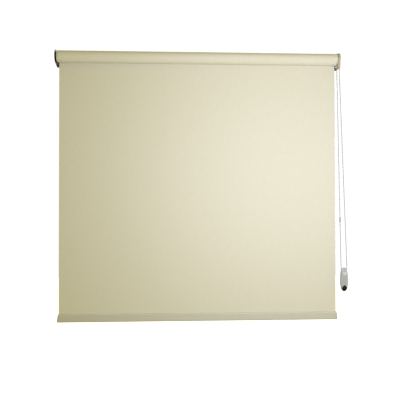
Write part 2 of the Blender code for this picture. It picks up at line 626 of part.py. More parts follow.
def make_bottom_bar(hem):
    lip = BAR_SLOT / 2
    inner = mirrored(bar_half(BAR_WALL, lip))
    outer = mirrored(bar_half(0, lip))
    prism("hem_bar", outer + inner[::-1], "X", -HALF_FABRIC, HALF_FABRIC, RAIL, parent=hem)

    strip = box_outline(HEM_STRIP, HEM_STRIP, (0, -(FABRIC_IN_BAR + GAP + HEM_STRIP / 2)))
    strip_end = HALF_FABRIC - HEM_STRIP_INSET
    prism("hem_spline", strip, "X", -strip_end, strip_end, CLEAR_PLASTIC, parent=hem)

    full = mirrored(bar_half(0, 0))[1:]
    tongue = mirrored(bar_half(BAR_WALL + GAP, 0))[1:]
    tongue = [(u, v) for u, v in tongue if v < -TONGUE_TOP]
    for name, side in (("hem_bar_cap_left", -1), ("hem_bar_cap_right", 1)):
        cap = prism(name, full, "X", side * (HALF_FABRIC + GAP), side * (HALF_FABRIC + CAP_THICKNESS),
                    CAP_PLASTIC, parent=hem)
        lean_cap(cap, side)
        add(cap, prism(name + "_tongue", tongue, "X", side * (HALF_FABRIC - CAP_TONGUE),
                       side * (HALF_FABRIC + CAP_THICKNESS / 2), parent=hem))


def lean_cap(cap, side):
    """The cap's outer face leans in towards its thin top."""
    outer = side * (HALF_FABRIC + CAP_THICKNESS)
    for vertex in cap.data.vertices:
        if abs(vertex.co.x - outer) < GAP:
            height = max(0.0, 1 + vertex.co.z / (BAR_HEIGHT * 0.6))
            vertex.co.x -= side * height * CAP_THICKNESS * 0.6


# ---------------------------------------------------------------- chain


def chain_line(steps):
    return smooth_route(STRAND_ROUTE, [steps] * (len(STRAND_ROUTE) - 1))


def over_sprocket(end_gap):
    """The chain from its front strand over the sprocket to its rear strand."""
    front, rear = STRAND_ROUTE[0], STRAND_ROUTE[-1]
    down_front = (STRAND_ROUTE[1] - front).normalized()
    down_rear = (STRAND_ROUTE[-2] - rear).normalized()
    over = [Vector((SPROCKET_X, AXIS_Y - PITCH_RADIUS * math.cos(a), PITCH_RADIUS * math.sin(a)))
            for a in (math.pi * i / 12 for i in range(13))]
    first = [front - down_front * end_gap, front - down_front * STRAIGHT_RUN]
    last = [rear - down_rear * STRAIGHT_RUN, rear - down_rear * end_gap]
    return smooth_route([*first, *over, *last], [1] + [2] * 14 + [1])


def make_chain(guard):
    tube_along("chain_hanging_loop", chain_line(3), CHAIN_RADIUS, CHAIN_WHITE)
    tube_along("chain_on_sprocket", over_sprocket(GAP), CHAIN_RADIUS, CHAIN_WHITE)
    room = tube_along("chain_room", [*reversed(over_sprocket(0)), *chain_line(2)[1:]],
                      CHAIN_RADIUS + 2 * GAP, resolution=2)
    bpy.context.view_layer.update()
    room = as_mesh(room)
    cut(guard, room)

    front, rear = STRAND_ROUTE[0], STRAND_ROUTE[-1]
    down_front = (STRAND_ROUTE[5] - front).normalized()
    down_rear = (STRAND_ROUTE[-6] - rear).normalized()
    first = GUARD_BOTTOM - abs(front.z) + STOP_BELOW_GUARD + STOP_LENGTH / 2
    chain_stop("front_chain_stop", front + down_front * first, down_front)
    low = rear + down_rear * (first + STOP_TRAVEL)
    chain_stop("rear_chain_stop", low, down_rear)
    join = low + down_rear * (STOP_LENGTH / 2 + GAP + CONNECTOR_LENGTH / 2)
    bore = CHAIN_RADIUS + GAP
    half = CONNECTOR_LENGTH / 2
    clip = turned("chain_connector", [
        (-half, bore), (-half, bore + CLIP_LIP), (-half + CONNECTOR_TAPER, CONNECTOR_RADIUS),
        (half - CONNECTOR_TAPER, CONNECTOR_RADIUS), (half, bore + CLIP_LIP), (half, bore)],
        CHAIN_WHITE, SMALL_FACETS, location=join)
    clip.rotation_euler = down_rear.to_track_quat("X", "Z").to_euler()
    return room


def chain_stop(name, place, along):
    """Ball clipped round the chain."""
    bore = CHAIN_RADIUS + GAP
    half = STOP_LENGTH / 2
    start = math.degrees(math.asin((bore + 0.0004) / STOP_RADIUS))
    ball = [(-half * math.cos(math.radians(a)), STOP_RADIUS * math.sin(math.radians(a)))
            for a in (start + (180 - 2 * start) * i / 8 for i in range(9))]
    ends = [(ball[-1][0], bore), (ball[0][0], bore)]
    made = turned(name, [*ball, *ends], CLEAR_PLASTIC, SMALL_FACETS, location=place)
    made.rotation_euler = along.to_track_quat("X", "Z").to_euler()
    return made


# ---------------------------------------------------------------- chain weight


def weight_outline(inset):
    """Long oval that narrows a little towards its top, in (x, z) about its centre."""
    wide, tall = WEIGHT_WIDTH / 2 - inset, WEIGHT_HEIGHT / 2 - inset
    points = []
    for i in range(44):
        angle = 2 * math.pi * i / 44
        power = 2 / 2.5
        u = math.copysign(abs(math.cos(angle)) ** power, math.cos(angle))
        v = math.copysign(abs(math.sin(angle)) ** power, math.sin(angle))
        points.append((wide * u * (1 - 0.10 * max(v, 0)), tall * v))
    return points


def tip_outline(grown):
    """Diamond with rounded corners that fills the foot of the weight."""
    half_u, half_v = TIP_WIDTH / 2 + grown, TIP_HEIGHT / 2 + grown
    points = []
    for i in range(24):
        angle = 2 * math.pi * i / 24
        power = 2 / 1.45
        points.append((half_u * math.copysign(abs(math.cos(angle)) ** power, math.cos(angle)),
                       half_v * math.copysign(abs(math.sin(angle)) ** power, math.sin(angle))))
    return [(u, v - WEIGHT_HEIGHT / 2 + TIP_HEIGHT / 2) for u, v in points]


def bowl(name, outlines, surface, parent):
    """A closed skin from a list of (outline, y) rings, capped at both ends."""
    bm = bmesh.new()
    rings = []
    for outline, y in outlines:
        ring = [bm.verts.new((u, y, v)) for u, v in outline]
        rings.append([bm.edges.new((a, b)) for a, b in zip(ring, ring[1:] + ring[:1])])
    for first, second in zip(rings, rings[1:]):
        bmesh.ops.bridge_loops(bm, edges=first + second)
    for ring in (rings[0], rings[-1]):
        bmesh.ops.triangle_fill(bm, use_beauty=True, edges=ring)
    return finish(name, bm, surface, parent, sharp=25)


def make_weight(room):
    centre = empty("weight_centre", Vector(WEIGHT_CENTRE) + HANG_SHIFT)
    deep = WEIGHT_DEPTH / 2
    for name, front in (("weight_front_shell", -1), ("weight_rear_shell", 1)):
        hollow = [(weight_outline(WEIGHT_WALL), front * GAP / 2)]
        hollow += [(weight_outline(WEIGHT_WALL + inset), front * (deep - fall))
                   for inset, fall in HOLLOW_ROUNDING]
        skin = [(weight_outline(0), front * GAP / 2)]
        skin += [(weight_outline(inset), front * (deep - fall)) for inset, fall in SKIN_ROUNDING]
        made = bowl(name, [*reversed(hollow), *skin], GREY_PLASTIC, centre)
        tip = prism(name + "_tip_room", tip_outline(GAP), "Y", -WEIGHT_DEPTH, WEIGHT_DEPTH, parent=centre)
        cut(made, tip)
        cut(made, room)
        bore = ring_profile(-WEIGHT_DEPTH, WEIGHT_DEPTH, 0, AXLE_RADIUS + GAP)
        axle_hole = turned(name + "_axle_hole", bore, facets=SMALL_FACETS, parent=centre,
                           location=(0, 0, PULLEY_Z), axis=(0, 1, 0))
        cut(made, axle_hole)

    face = deep + TIP_PROUD
    front_rings = [(tip_outline(grown), fall - face) for grown, fall in TIP_ROUNDING]
    bowl("weight_base_plug", [*front_rings, *[(outline, -y) for outline, y in reversed(front_rings)]],
         BLACK_PLASTIC, centre)

    axle_at = empty("pulley_axis", (0, 0, PULLEY_Z))
    axle_at.parent = centre
    floor = PULLEY_RADIUS - CHAIN_RADIUS - GAP - GROOVE_RELIEF
    shoulder = floor + GROOVE_RELIEF + GROOVE_SHOULDER
    rim = PULLEY_RADIUS + SPROCKET_RIM
    half = CHAIN_RADIUS + 2 * GAP
    side = half + PULLEY_LIP
    turned("weight_pulley", [
        (-side, AXLE_RADIUS + GAP), (-side, rim), (-half, rim), (-half, shoulder), (-half / 2, floor),
        (half / 2, floor), (half, shoulder), (half, rim), (side, rim), (side, AXLE_RADIUS + GAP)],
        LIGHT_PLASTIC, 36, axle_at, axis=(0, 1, 0))
    head = deep + GAP
    turned("weight_axle", [
        (GAP - deep, 0), (GAP - deep, AXLE_RADIUS), (head, AXLE_RADIUS), (head, AXLE_HEAD_RADIUS),
        (head + AXLE_HEAD_HEIGHT, AXLE_HEAD_RADIUS - GAP), (head + AXLE_HEAD_HEIGHT, 0)],
        BRIGHT_STEEL, SMALL_FACETS, centre, location=(0, 0, PULLEY_Z), axis=(0, 1, 0))

    lead = box_outline(BALLAST_WIDTH, BALLAST_HEIGHT, (0, PULLEY_Z - BALLAST_BELOW_AXLE))
    prism("weight_ballast", lead, "Y", -deep + WEIGHT_WALL + GAP, deep - WEIGHT_WALL - GAP, BRIGHT_STEEL,
          parent=centre)

    badge = []
    for (u, v), begin in zip(reversed(BADGE_SPOTS), (-150, -30, 90)):
        badge += arc(BADGE_CORNER_RADIUS, begin, begin + 120, 5, (u, v + PULLEY_Z))
    holes = [arc(BADGE_HOLE_RADIUS, 0, 324, 9, (u, v + PULLEY_Z)) for u, v in BADGE_SPOTS]
    prism("weight_pulley_cover", badge, "Y", -deep - GAP - BADGE_THICKNESS, -deep - GAP, LIGHT_PLASTIC,
          holes, centre)


# ---------------------------------------------------------------- the model

for leftover in list(bpy.data.objects):
    bpy.data.objects.remove(leftover)

FABRIC = material("cream_fabric", (0.63, 0.58, 0.42), 0.85)
ALUMINIUM = material("tube_aluminium", (0.70, 0.71, 0.72), 0.35, 1.0)
RAIL = material("beige_rail", (0.50, 0.46, 0.35), 0.45)
CAP_PLASTIC = material("beige_cap", (0.44, 0.41, 0.32), 0.55)
CREAM_PLASTIC = material("cream_plastic", (0.72, 0.66, 0.47), 0.4)
LIGHT_PLASTIC = material("light_plastic", (0.80, 0.79, 0.72), 0.45)
GREY_PLASTIC = material("grey_plastic", (0.44, 0.44, 0.46), 0.4)
BLACK_PLASTIC = material("black_plastic", (0.02, 0.02, 0.015), 0.4)
STEEL_BLACK = material("black_steel", (0.025, 0.025, 0.018), 0.45)
BRIGHT_STEEL = material("bright_steel", (0.62, 0.62, 0.64), 0.3, 1.0)
CLEAR_PLASTIC = material("clear_plastic", (0.75, 0.75, 0.72), 0.3)
CHAIN_WHITE = material("chain_white", (0.70, 0.70, 0.68), 0.45)

roller_axis = empty("roller_axis", (0, AXIS_Y, 0))
hem_top = empty("hem_top", (0, AXIS_Y + SHEET_MIDDLE, -FABRIC_DROP))

make_roller(roller_axis)
make_sheet()
make_idle_end(roller_axis)
make_control_end(roller_axis)
chain_guard = make_control_covers(roller_axis)
make_bottom_bar(hem_top)
bpy.context.view_layer.update()
chain_room = make_chain(chain_guard)
make_weight(chain_room)
bpy.context.view_layer.update()
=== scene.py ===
import math

import bmesh
import bpy
import numpy as np
from mathutils import Matrix, Vector


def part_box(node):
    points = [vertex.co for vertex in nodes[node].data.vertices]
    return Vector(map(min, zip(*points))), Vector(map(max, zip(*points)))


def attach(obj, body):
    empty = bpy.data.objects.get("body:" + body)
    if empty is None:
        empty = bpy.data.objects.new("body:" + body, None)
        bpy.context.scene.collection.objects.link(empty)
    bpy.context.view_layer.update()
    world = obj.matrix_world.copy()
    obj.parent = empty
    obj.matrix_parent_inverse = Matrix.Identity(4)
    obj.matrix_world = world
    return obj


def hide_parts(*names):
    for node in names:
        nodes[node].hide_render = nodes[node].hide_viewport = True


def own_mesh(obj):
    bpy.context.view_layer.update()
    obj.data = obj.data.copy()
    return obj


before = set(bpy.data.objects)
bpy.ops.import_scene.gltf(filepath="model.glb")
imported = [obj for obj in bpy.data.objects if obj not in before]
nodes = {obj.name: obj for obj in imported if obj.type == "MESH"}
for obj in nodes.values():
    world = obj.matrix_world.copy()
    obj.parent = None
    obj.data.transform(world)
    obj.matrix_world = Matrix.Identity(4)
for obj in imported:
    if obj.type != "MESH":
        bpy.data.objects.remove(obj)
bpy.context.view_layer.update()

# camera first: it stands in front, a little left of the middle and level with the lower half

camera = {
    "place": (-0.1355, -2.545, -0.6497),
    "turnRight": 3.19,   # degrees
    "tiltUp": 0.893,
    "roll": 0.088,
    "lens": 52.496,      # on a 36 mm sensor
}


def addCamera(settings):
    data = bpy.data.cameras.new("viewCamera")
    data.lens = settings["lens"]
    data.sensor_width = 36
    made = bpy.data.objects.new("viewCamera", data)
    made.location = settings["place"]
    made.rotation_euler = [math.radians(a) for a in
                           (90 + settings["tiltUp"], settings["roll"], -settings["turnRight"])]
    bpy.context.collection.objects.link(made)
    bpy.context.scene.camera = made


addCamera(camera)


# shapes that the pieces below share


def shadeMesh(mesh, sharp=35):
    mesh.shade_smooth()
    mesh.set_sharp_from_angle(angle=math.radians(sharp))


def linkMesh(name, verts, faces, sharp=35, merge=False):
    mesh = bpy.data.meshes.new(name)
    mesh.from_pydata([tuple(v) for v in verts], [], faces)
    bm = bmesh.new()
    bm.from_mesh(mesh)
    if merge:
        bmesh.ops.remove_doubles(bm, verts=bm.verts[:], dist=1e-6)
    bmesh.ops.recalc_face_normals(bm, faces=bm.faces[:])
    bm.to_mesh(mesh)
    bm.free()
    shadeMesh(mesh, sharp)
    made = bpy.data.objects.new(name, mesh)
    bpy.context.collection.objects.link(made)
    return made


def skinRings(rings):
    # verts and faces of a skin through equal rings, capped at both ends
    size = len(rings[0])
    verts = [p for ring in rings for p in ring]
    faces = []
    for i in range(len(rings) - 1):
        a, b = i * size, (i + 1) * size
        for k in range(size):
            m = (k + 1) % size
            faces.append((a + k, a + m, b + m, b + k))
    faces.append(tuple(range(size)))
    faces.append(tuple(range(len(verts) - size, len(verts))))
    return verts, faces


def smoothRoute(route, steps=12):
    # a smooth curve through the points, with so many steps between two
    points = [Vector(p) for p in route]
    line = []
    for i in range(len(points) - 1):
        before, start, end = points[max(i - 1, 0)], points[i], points[i + 1]
        after = points[min(i + 2, len(points) - 1)]
        for k in range(steps):
            t = k / steps
            line.append(0.5 * (2 * start + (end - before) * t
                               + (2 * before - 5 * start + 4 * end - after) * t ** 2
                               + (3 * start - before - 3 * end + after) * t ** 3))
    return [*line, points[-1]]


class Line:
    # a polyline that gives the point at any distance along it

    def __init__(self, points):
        self.points = np.array([tuple(p) for p in points])
        steps = np.linalg.norm(np.diff(self.points, axis=0), axis=1)
        self.at = np.concatenate([[0], np.cumsum(steps)])
        self.length = float(self.at[-1])

    def point(self, distance):
        return Vector([float(np.interp(distance, self.at, self.points[:, k])) for k in range(3)])

    def nearest(self, place):
        return float(self.at[np.argmin(np.linalg.norm(self.points - np.array(tuple(place)), axis=1))])


def sweepRings(centres, radii, sides):
    # round rings along a line, each turned on from the last without twist
    centres = [Vector(c) for c in centres]
    tangents = []
    for i in range(len(centres)):
        ahead, behind = centres[min(i + 1, len(centres) - 1)], centres[max(i - 1, 0)]
        tangents.append((ahead - behind).normalized())
    side = tangents[0].orthogonal().normalized()
    rings = []
    for centre, tangent, radius in zip(centres, tangents, radii):
        side = (side - tangent * side.dot(tangent)).normalized()
        other = tangent.cross(side)
        turns = [2 * math.pi * k / sides for k in range(sides)]
        rings.append([centre + (side * math.cos(a) + other * math.sin(a)) * radius for a in turns])
    return rings


def fillet(points, radius, steps):
    # rounds each corner of a closed flat outline with a short curve
    rounded = []
    for i, here in enumerate(points):
        here, before, after = Vector(here), Vector(points[i - 1]), Vector(points[(i + 1) % len(points)])
        back, on = before - here, after - here
        reach = min(radius, back.length * 0.45, on.length * 0.45)
        start, end = here + back.normalized() * reach, here + on.normalized() * reach
        for k in range(steps + 1):
            t = k / steps
            rounded.append(tuple(start * (1 - t) ** 2 + here * 2 * t * (1 - t) + end * t ** 2))
    return rounded


def lathe(name, profile, centre, axis=(1, 0, 0), facets=64, closed=True, radiusAt=None):
    # spins (along, radius) points about an axis; radiusAt can change a point's radius with its angle
    along = Vector(axis).normalized()
    side = along.orthogonal().normalized()
    other = along.cross(side)
    centre = Vector(centre)
    rings = []
    for k in range(facets):
        a = 2 * math.pi * k / facets
        out = side * math.cos(a) + other * math.sin(a)
        rings.append([centre + along * u + out * (radiusAt(u, r, out) if radiusAt else r)
                      for u, r in profile])
    size = len(profile)
    faces = []
    spans = size if closed else size - 1
    for k in range(facets):
        a, b = k * size, (k + 1) % facets * size
        for i in range(spans):
            m = (i + 1) % size
            faces.append((a + i, a + m, b + m, b + i))
    verts = [p for ring in rings for p in ring]
    made = linkMesh(name, verts, faces, merge=True)
    if not closed:
        closeEnds(made)
    return made


def closeEnds(made):
    bm = bmesh.new()
    bm.from_mesh(made.data)
    bmesh.ops.holes_fill(bm, edges=[e for e in bm.edges if e.is_boundary])
    bmesh.ops.dissolve_degenerate(bm, edges=bm.edges[:], dist=1e-7)
    bmesh.ops.recalc_face_normals(bm, faces=bm.faces[:])
    bm.to_mesh(made.data)
    bm.free()
    shadeMesh(made.data)


def carve(made, cutters):
    # cuts the helpers out of a piece and leaves only the result
    for cutter in cutters:
        step = made.modifiers.new("cut", "BOOLEAN")
        step.operation = "DIFFERENCE"
        step.object = cutter
        step.solver = "EXACT"
    bpy.context.view_layer.update()
    shaped = made.evaluated_get(bpy.context.evaluated_depsgraph_get())
    mesh = bpy.data.meshes.new_from_object(shaped)
    made.modifiers.clear()
    made.data = mesh
    shadeMesh(mesh)


def dropHelpers(helpers):
    for helper in helpers:
        bpy.data.objects.remove(helper)


def joinPieces(name, parts):
    # several meshes as one piece
    bm = bmesh.new()
    for part in parts:
        bm.from_mesh(part.data)
    mesh = bpy.data.meshes.new(name)
    bm.to_mesh(mesh)
    bm.free()
    made = bpy.data.objects.new(name, mesh)
    bpy.context.collection.objects.link(made)
    dropHelpers(parts)
    return made


def settle(made, body, finish, standsFor):
    # gives a piece its finish and its body, and hides the CAD node it stands for
    made.data.materials.clear()
    made.data.materials.append(finish)
    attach(made, body)
    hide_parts(standsFor)
    return made


# finishes, each from its own nodes


def startFinish(name, roughness, metallic=0.0):
    made = bpy.data.materials.new(name)
    made.use_nodes = True
    tree = made.node_tree
    shader = tree.nodes["Principled BSDF"]
    shader.inputs["Roughness"].default_value = roughness
    shader.inputs["Metallic"].default_value = metallic
    coords = tree.nodes.new("ShaderNodeTexCoord")
    return made, tree, shader, coords


def addNoise(tree, vector, scale, detail=3.0, stretch=(1, 1, 1), turn=(0, 0, 0)):
    mapping = tree.nodes.new("ShaderNodeMapping")
    mapping.inputs["Scale"].default_value = stretch
    mapping.inputs["Rotation"].default_value = turn
    noise = tree.nodes.new("ShaderNodeTexNoise")
    noise.inputs["Scale"].default_value = scale
    noise.inputs["Detail"].default_value = detail
    tree.links.new(vector, mapping.inputs["Vector"])
    tree.links.new(mapping.outputs["Vector"], noise.inputs["Vector"])
    return noise.outputs["Fac"]


def addMath(tree, operation, first, second=None):
    node = tree.nodes.new("ShaderNodeMath")
    node.operation = operation
    for socket, value in zip(node.inputs, (first, second)):
        if value is None:
            continue
        if isinstance(value, (int, float)):
            socket.default_value = value
        else:
            tree.links.new(value, socket)
    return node.outputs["Value"]


def addRamp(tree, factor, stops):
    ramp = tree.nodes.new("ShaderNodeValToRGB")
    points = ramp.color_ramp.elements
    while len(points) < len(stops):
        points.new(0.5)
    for point, (place, colour) in zip(points, stops):
        point.position = place
        point.color = (*colour, 1.0)
    tree.links.new(factor, ramp.inputs["Fac"])
    return ramp.outputs["Color"]


def addBump(tree, shader, height, strength, distance):
    bump = tree.nodes.new("ShaderNodeBump")
    bump.inputs["Strength"].default_value = strength
    bump.inputs["Distance"].default_value = distance
    tree.links.new(height, bump.inputs["Height"])
    tree.links.new(bump.outputs["Normal"], shader.inputs["Normal"])


def addRange(tree, factor, low, high):
    node = tree.nodes.new("ShaderNodeMapRange")
    node.inputs["To Min"].default_value = low
    node.inputs["To Max"].default_value = high
    tree.links.new(factor, node.inputs["Value"])
    return node.outputs["Result"]


def blendOf(tree, first, firstShare, second, secondShare):
    shares = [addMath(tree, "MULTIPLY", first, firstShare), addMath(tree, "MULTIPLY", second, secondShare)]
    return addMath(tree, "ADD", *shares)


def shade(colour, share):
    return tuple(min(1.0, c * share) for c in colour)


def addTones(tree, shader, factor, colour, dark, light):
    # the base colour, from darker at the factor's first stop to lighter at its second
    (low, darker), (high, lighter) = dark, light
    stops = [(low, shade(colour, darker)), (high, shade(colour, lighter))]
    tree.links.new(addRamp(tree, factor, stops), shader.inputs["Base Color"])


def mouldedPlastic(name, colour, roughness, speckle=0.05, grain=0.15, gloss=0.5):
    made, tree, shader, coords = startFinish(name, roughness)
    place = coords.outputs["Object"]
    broad = addNoise(tree, place, scale=38, detail=2)
    fine = addNoise(tree, place, scale=1400, detail=4)
    blend = blendOf(tree, broad, 0.7, fine, 0.3)
    addTones(tree, shader, blend, colour, (0.3, 1 - speckle), (0.7, 1 + speckle))
    tree.links.new(addRange(tree, fine, roughness - 0.06, roughness + 0.08), shader.inputs["Roughness"])
    shader.inputs["Specular IOR Level"].default_value = gloss
    addBump(tree, shader, fine, grain, 0.00008)
    return made


def coatedMetal(name, colour, roughness, peel=0.12):
    made, tree, shader, coords = startFinish(name, roughness)
    place = coords.outputs["Object"]
    peelNoise = addNoise(tree, place, scale=620, detail=2)
    dust = addNoise(tree, place, scale=340, detail=5)
    addTones(tree, shader, dust, colour, (0.32, 0.96), (0.72, 1.04))
    tree.links.new(addRange(tree, dust, roughness - 0.05, roughness + 0.07), shader.inputs["Roughness"])
    shader.inputs["Coat Weight"].default_value = 0.10
    shader.inputs["Coat Roughness"].default_value = 0.25
    addBump(tree, shader, peelNoise, peel, 0.00006)
    return made


def drawnMetal(name, colour, roughness, along=(1, 40, 40), scale=24):
    made, tree, shader, coords = startFinish(name, roughness, 1.0)
    place = coords.outputs["Object"]
    streaks = addNoise(tree, place, scale, detail=6, stretch=along)
    stain = addNoise(tree, place, scale=60, detail=3)
    addTones(tree, shader, blendOf(tree, streaks, 0.75, stain, 0.25), colour, (0.3, 0.80), (0.7, 1.12))
    tree.links.new(addRange(tree, streaks, roughness - 0.08, roughness + 0.14), shader.inputs["Roughness"])
    addBump(tree, shader, streaks, 0.08, 0.00005)
    return made


def milkyPlastic(name, colour, roughness, through):
    made, tree, shader, coords = startFinish(name, roughness)
    place = coords.outputs["Object"]
    cloud = addNoise(tree, place, scale=260, detail=3)
    addTones(tree, shader, cloud, colour, (0.3, 0.93), (0.7, 1.05))
    tree.links.new(addRange(tree, cloud, roughness - 0.05, roughness + 0.08), shader.inputs["Roughness"])
    shader.inputs["Transmission Weight"].default_value = through
    shader.inputs["IOR"].default_value = 1.46
    addBump(tree, shader, cloud, 0.06, 0.00006)
    return made


cloth = {
    "light": (0.742, 0.702, 0.575),
    "dark": (0.700, 0.656, 0.530),
    "yarn": 0.0008,        # metres from yarn to yarn
    "mottle": 95,          # patches per metre
    "slub": (900, 28),     # thick yarns per metre across them, and changes per metre along them
}


def wovenCloth(name, settings):
    # UVs are in metres: u across the blind, v along the cloth
    made, tree, shader, coords = startFinish(name, 0.88)
    place = coords.outputs["UV"]
    fine, coarse = settings["slub"]
    waves = []
    for direction in ("X", "Y"):
        wave = tree.nodes.new("ShaderNodeTexWave")
        wave.bands_direction = direction
        wave.inputs["Scale"].default_value = math.pi / 10 / settings["yarn"] / 2
        wave.inputs["Distortion"].default_value = 0.0
        tree.links.new(place, wave.inputs["Vector"])
        waves.append(addMath(tree, "SUBTRACT", wave.outputs["Fac"], 0.5))
    crossing = addMath(tree, "MULTIPLY", addMath(tree, "MULTIPLY", waves[0], waves[1]), 4)
    knots = addMath(tree, "ABSOLUTE", crossing)
    warpSlub = addNoise(tree, place, 1, 3, stretch=(fine, coarse, 1))
    weftSlub = addNoise(tree, place, 1, 3, stretch=(coarse, fine, 1))
    slub = addMath(tree, "MULTIPLY", addMath(tree, "ADD", warpSlub, weftSlub), 0.5)
    rightTwill = addNoise(tree, place, settings["mottle"], 3, stretch=(1, 0.45, 1), turn=(0, 0, 0.9))
    leftTwill = addNoise(tree, place, settings["mottle"] * 0.6, 2, stretch=(1, 0.5, 1), turn=(0, 0, -0.7))
    mottle = blendOf(tree, rightTwill, 0.6, leftTwill, 0.4)
    tone = blendOf(tree, slub, 0.45, mottle, 0.40)
    tone = addMath(tree, "ADD", tone, addMath(tree, "MULTIPLY", crossing, 0.10))
    tree.links.new(addRamp(tree, tone, [(0.28, settings["dark"]), (0.58, settings["light"])]),
                   shader.inputs["Base Color"])
    tree.links.new(addRange(tree, knots, 0.95, 0.80), shader.inputs["Roughness"])
    shader.inputs["Specular IOR Level"].default_value = 0.2
    shader.inputs["Sheen Weight"].default_value = 0.08
    shader.inputs["Sheen Roughness"].default_value = 0.5
    addBump(tree, shader, blendOf(tree, knots, 0.6, slub, 0.8), 0.35, 0.00012)
    return made


creamCloth = wovenCloth("creamCloth", cloth)
millAluminium = drawnMetal("millAluminium", (0.72, 0.73, 0.74), 0.34)
railPaint = coatedMetal("railPaint", (0.60, 0.565, 0.475), 0.55)
capPlastic = mouldedPlastic("capPlastic", (0.52, 0.485, 0.385), 0.5)
creamPlastic = mouldedPlastic("creamPlastic", (0.73, 0.67, 0.49), 0.34)
# chain guard: the cream plastic is painted a darker brown, painted shade standing for the shade on the
# guard's inner face
guardPlasticPaintedShade = mouldedPlastic("guardPlasticPaintedShade", (0.46, 0.395, 0.27), 0.38)
ivoryPlastic = mouldedPlastic("ivoryPlastic", (0.78, 0.77, 0.70), 0.42)
greyPlastic = mouldedPlastic("greyPlastic", (0.42, 0.42, 0.44), 0.38)
badgePlastic = mouldedPlastic("badgePlastic", (0.60, 0.60, 0.60), 0.42)
blackPlastic = mouldedPlastic("blackPlastic", (0.007, 0.0065, 0.005), 0.42, speckle=0.15, gloss=0.16)
blackSteel = coatedMetal("blackSteel", (0.018, 0.016, 0.011), 0.5)
brightSteel = drawnMetal("brightSteel", (0.60, 0.60, 0.61), 0.28, along=(4, 4, 4), scale=160)
clearPlastic = milkyPlastic("clearPlastic", (0.82, 0.82, 0.78), 0.22, 0.45)
beadPlastic = mouldedPlastic("beadPlastic", (0.39, 0.39, 0.38), 0.36, speckle=0.04)
print("finishes ready")

# bead chain: one closed loop over the sprocket, down both strands and round the weight's pulley

chain = {
    "bead": 0.0045,
    "pitch": 0.006,
    "thread": 0.0009,
    "sides": 10,
    "sprocketPockets": 18,
    "pulleyPockets": 10,
    "straight": 0.013,     # run from each mouth straight up to the sprocket
    "bore": 0.0026,        # of the stops and the connector
}
strandRoute = [
    (0.60808, -0.06169, -0.0330), (0.61109, -0.06027, -0.1085), (0.61708, -0.05745, -0.2585),
    (0.62307, -0.05463, -0.4085), (0.62906, -0.05180, -0.5585), (0.63505, -0.04898, -0.7085),
    (0.64104, -0.04616, -0.8585), (0.64224, -0.04559, -0.8885), (0.64265, -0.04530, -0.9020),
    (0.64215, -0.04500, -0.9110), (0.64080, -0.04500, -0.9210), (0.63955, -0.04500, -0.9300),
    (0.63675, -0.04500, -0.93675), (0.63000, -0.04500, -0.93955), (0.62325, -0.04500, -0.93675),
    (0.62045, -0.04500, -0.9300), (0.61918, -0.04500, -0.9210), (0.61783, -0.04500, -0.9110),
    (0.61733, -0.04470, -0.9020), (0.61717, -0.04441, -0.8885), (0.61682, -0.04384, -0.8585),
    (0.61509, -0.04102, -0.7085), (0.61337, -0.03820, -0.5585), (0.61164, -0.03537, -0.4085),
    (0.60991, -0.03255, -0.2585), (0.60818, -0.02973, -0.1085), (0.60731, -0.02831, -0.0330),
]
tubeLow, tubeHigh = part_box("roller_tube")
rollerAxis = Vector((0, (tubeLow.y + tubeHigh.y) / 2, 0))
sprocketHalf = 0.00305     # half the sprocket's rim, whose outer face is the node's end
sprocketAt = Vector((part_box("chain_sprocket")[1].x - sprocketHalf, rollerAxis.y, 0))
pulleyLow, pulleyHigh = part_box("weight_pulley")
pulleyAt = (pulleyLow + pulleyHigh) / 2
sprocketPitch = chain["sprocketPockets"] * chain["pitch"] / (2 * math.pi)
pulleyPitch = chain["pulleyPockets"] * chain["pitch"] / (2 * math.pi)


def wholeLoop():
    front, rear = Vector(strandRoute[0]), Vector(strandRoute[-1])
    upFront = (front - Vector(strandRoute[1])).normalized() * chain["straight"]
    upRear = (rear - Vector(strandRoute[-2])).normalized() * chain["straight"]
    over = [sprocketAt + Vector((0, math.cos(a), math.sin(a))) * sprocketPitch
            for a in (math.pi * i / 12 for i in range(13))]
    return Line(smoothRoute([*strandRoute, rear + upRear, *over, front + upFront, front]))


loop = wholeLoop()
beadCount = round(loop.length / chain["pitch"])
beadStep = loop.length / beadCount
topOfSprocket = loop.nearest(sprocketAt + Vector((0, 0, sprocketPitch)))
rearMouth = loop.nearest(strandRoute[-1])
beadPlaces = sorted((topOfSprocket + i * beadStep) % loop.length for i in range(beadCount))
strandLine = Line(smoothRoute(strandRoute))


def beadString(name, places):
    # one skin that swells at each bead and narrows to the thread between
    radius = chain["bead"] / 2
    narrow = math.asin(chain["thread"] / radius)
    turns = [narrow + (math.pi - 2 * narrow) * k / 6 for k in range(7)]
    centres, radii = [], []
    for place in places:
        for turn in turns:
            centres.append(loop.point((place - radius * math.cos(turn)) % loop.length))
            radii.append(radius * math.sin(turn))
    return linkMesh(name, *skinRings(sweepRings(centres, radii, chain["sides"])), sharp=80)


hangingPlaces = [s for s in beadPlaces if s <= rearMouth]
overPlaces = [s for s in beadPlaces if s > rearMouth]
hangingChain = beadString("beadChainHanging", hangingPlaces)
overChain = beadString("beadChainOverSprocket", overPlaces)
settle(hangingChain, "root", beadPlastic, "chain_hanging_loop")
settle(overChain, "root", beadPlastic, "chain_on_sprocket")


def middleOf(node):
    low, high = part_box(node)
    return (low + high) / 2


chainStop = {
    "radius": 0.0048,
    "length": 0.010,
    "mouthWall": 0.0005,   # round the bore at each end
    "round": 0.0003,
    "ribRadius": 0.0008,
    "ribTip": 0.0003,
    "ribDepth": 0.93,      # place of the ribs' middles, of the stop's radius
    "ribReach": 0.45,      # where they start to taper, of half its length
}


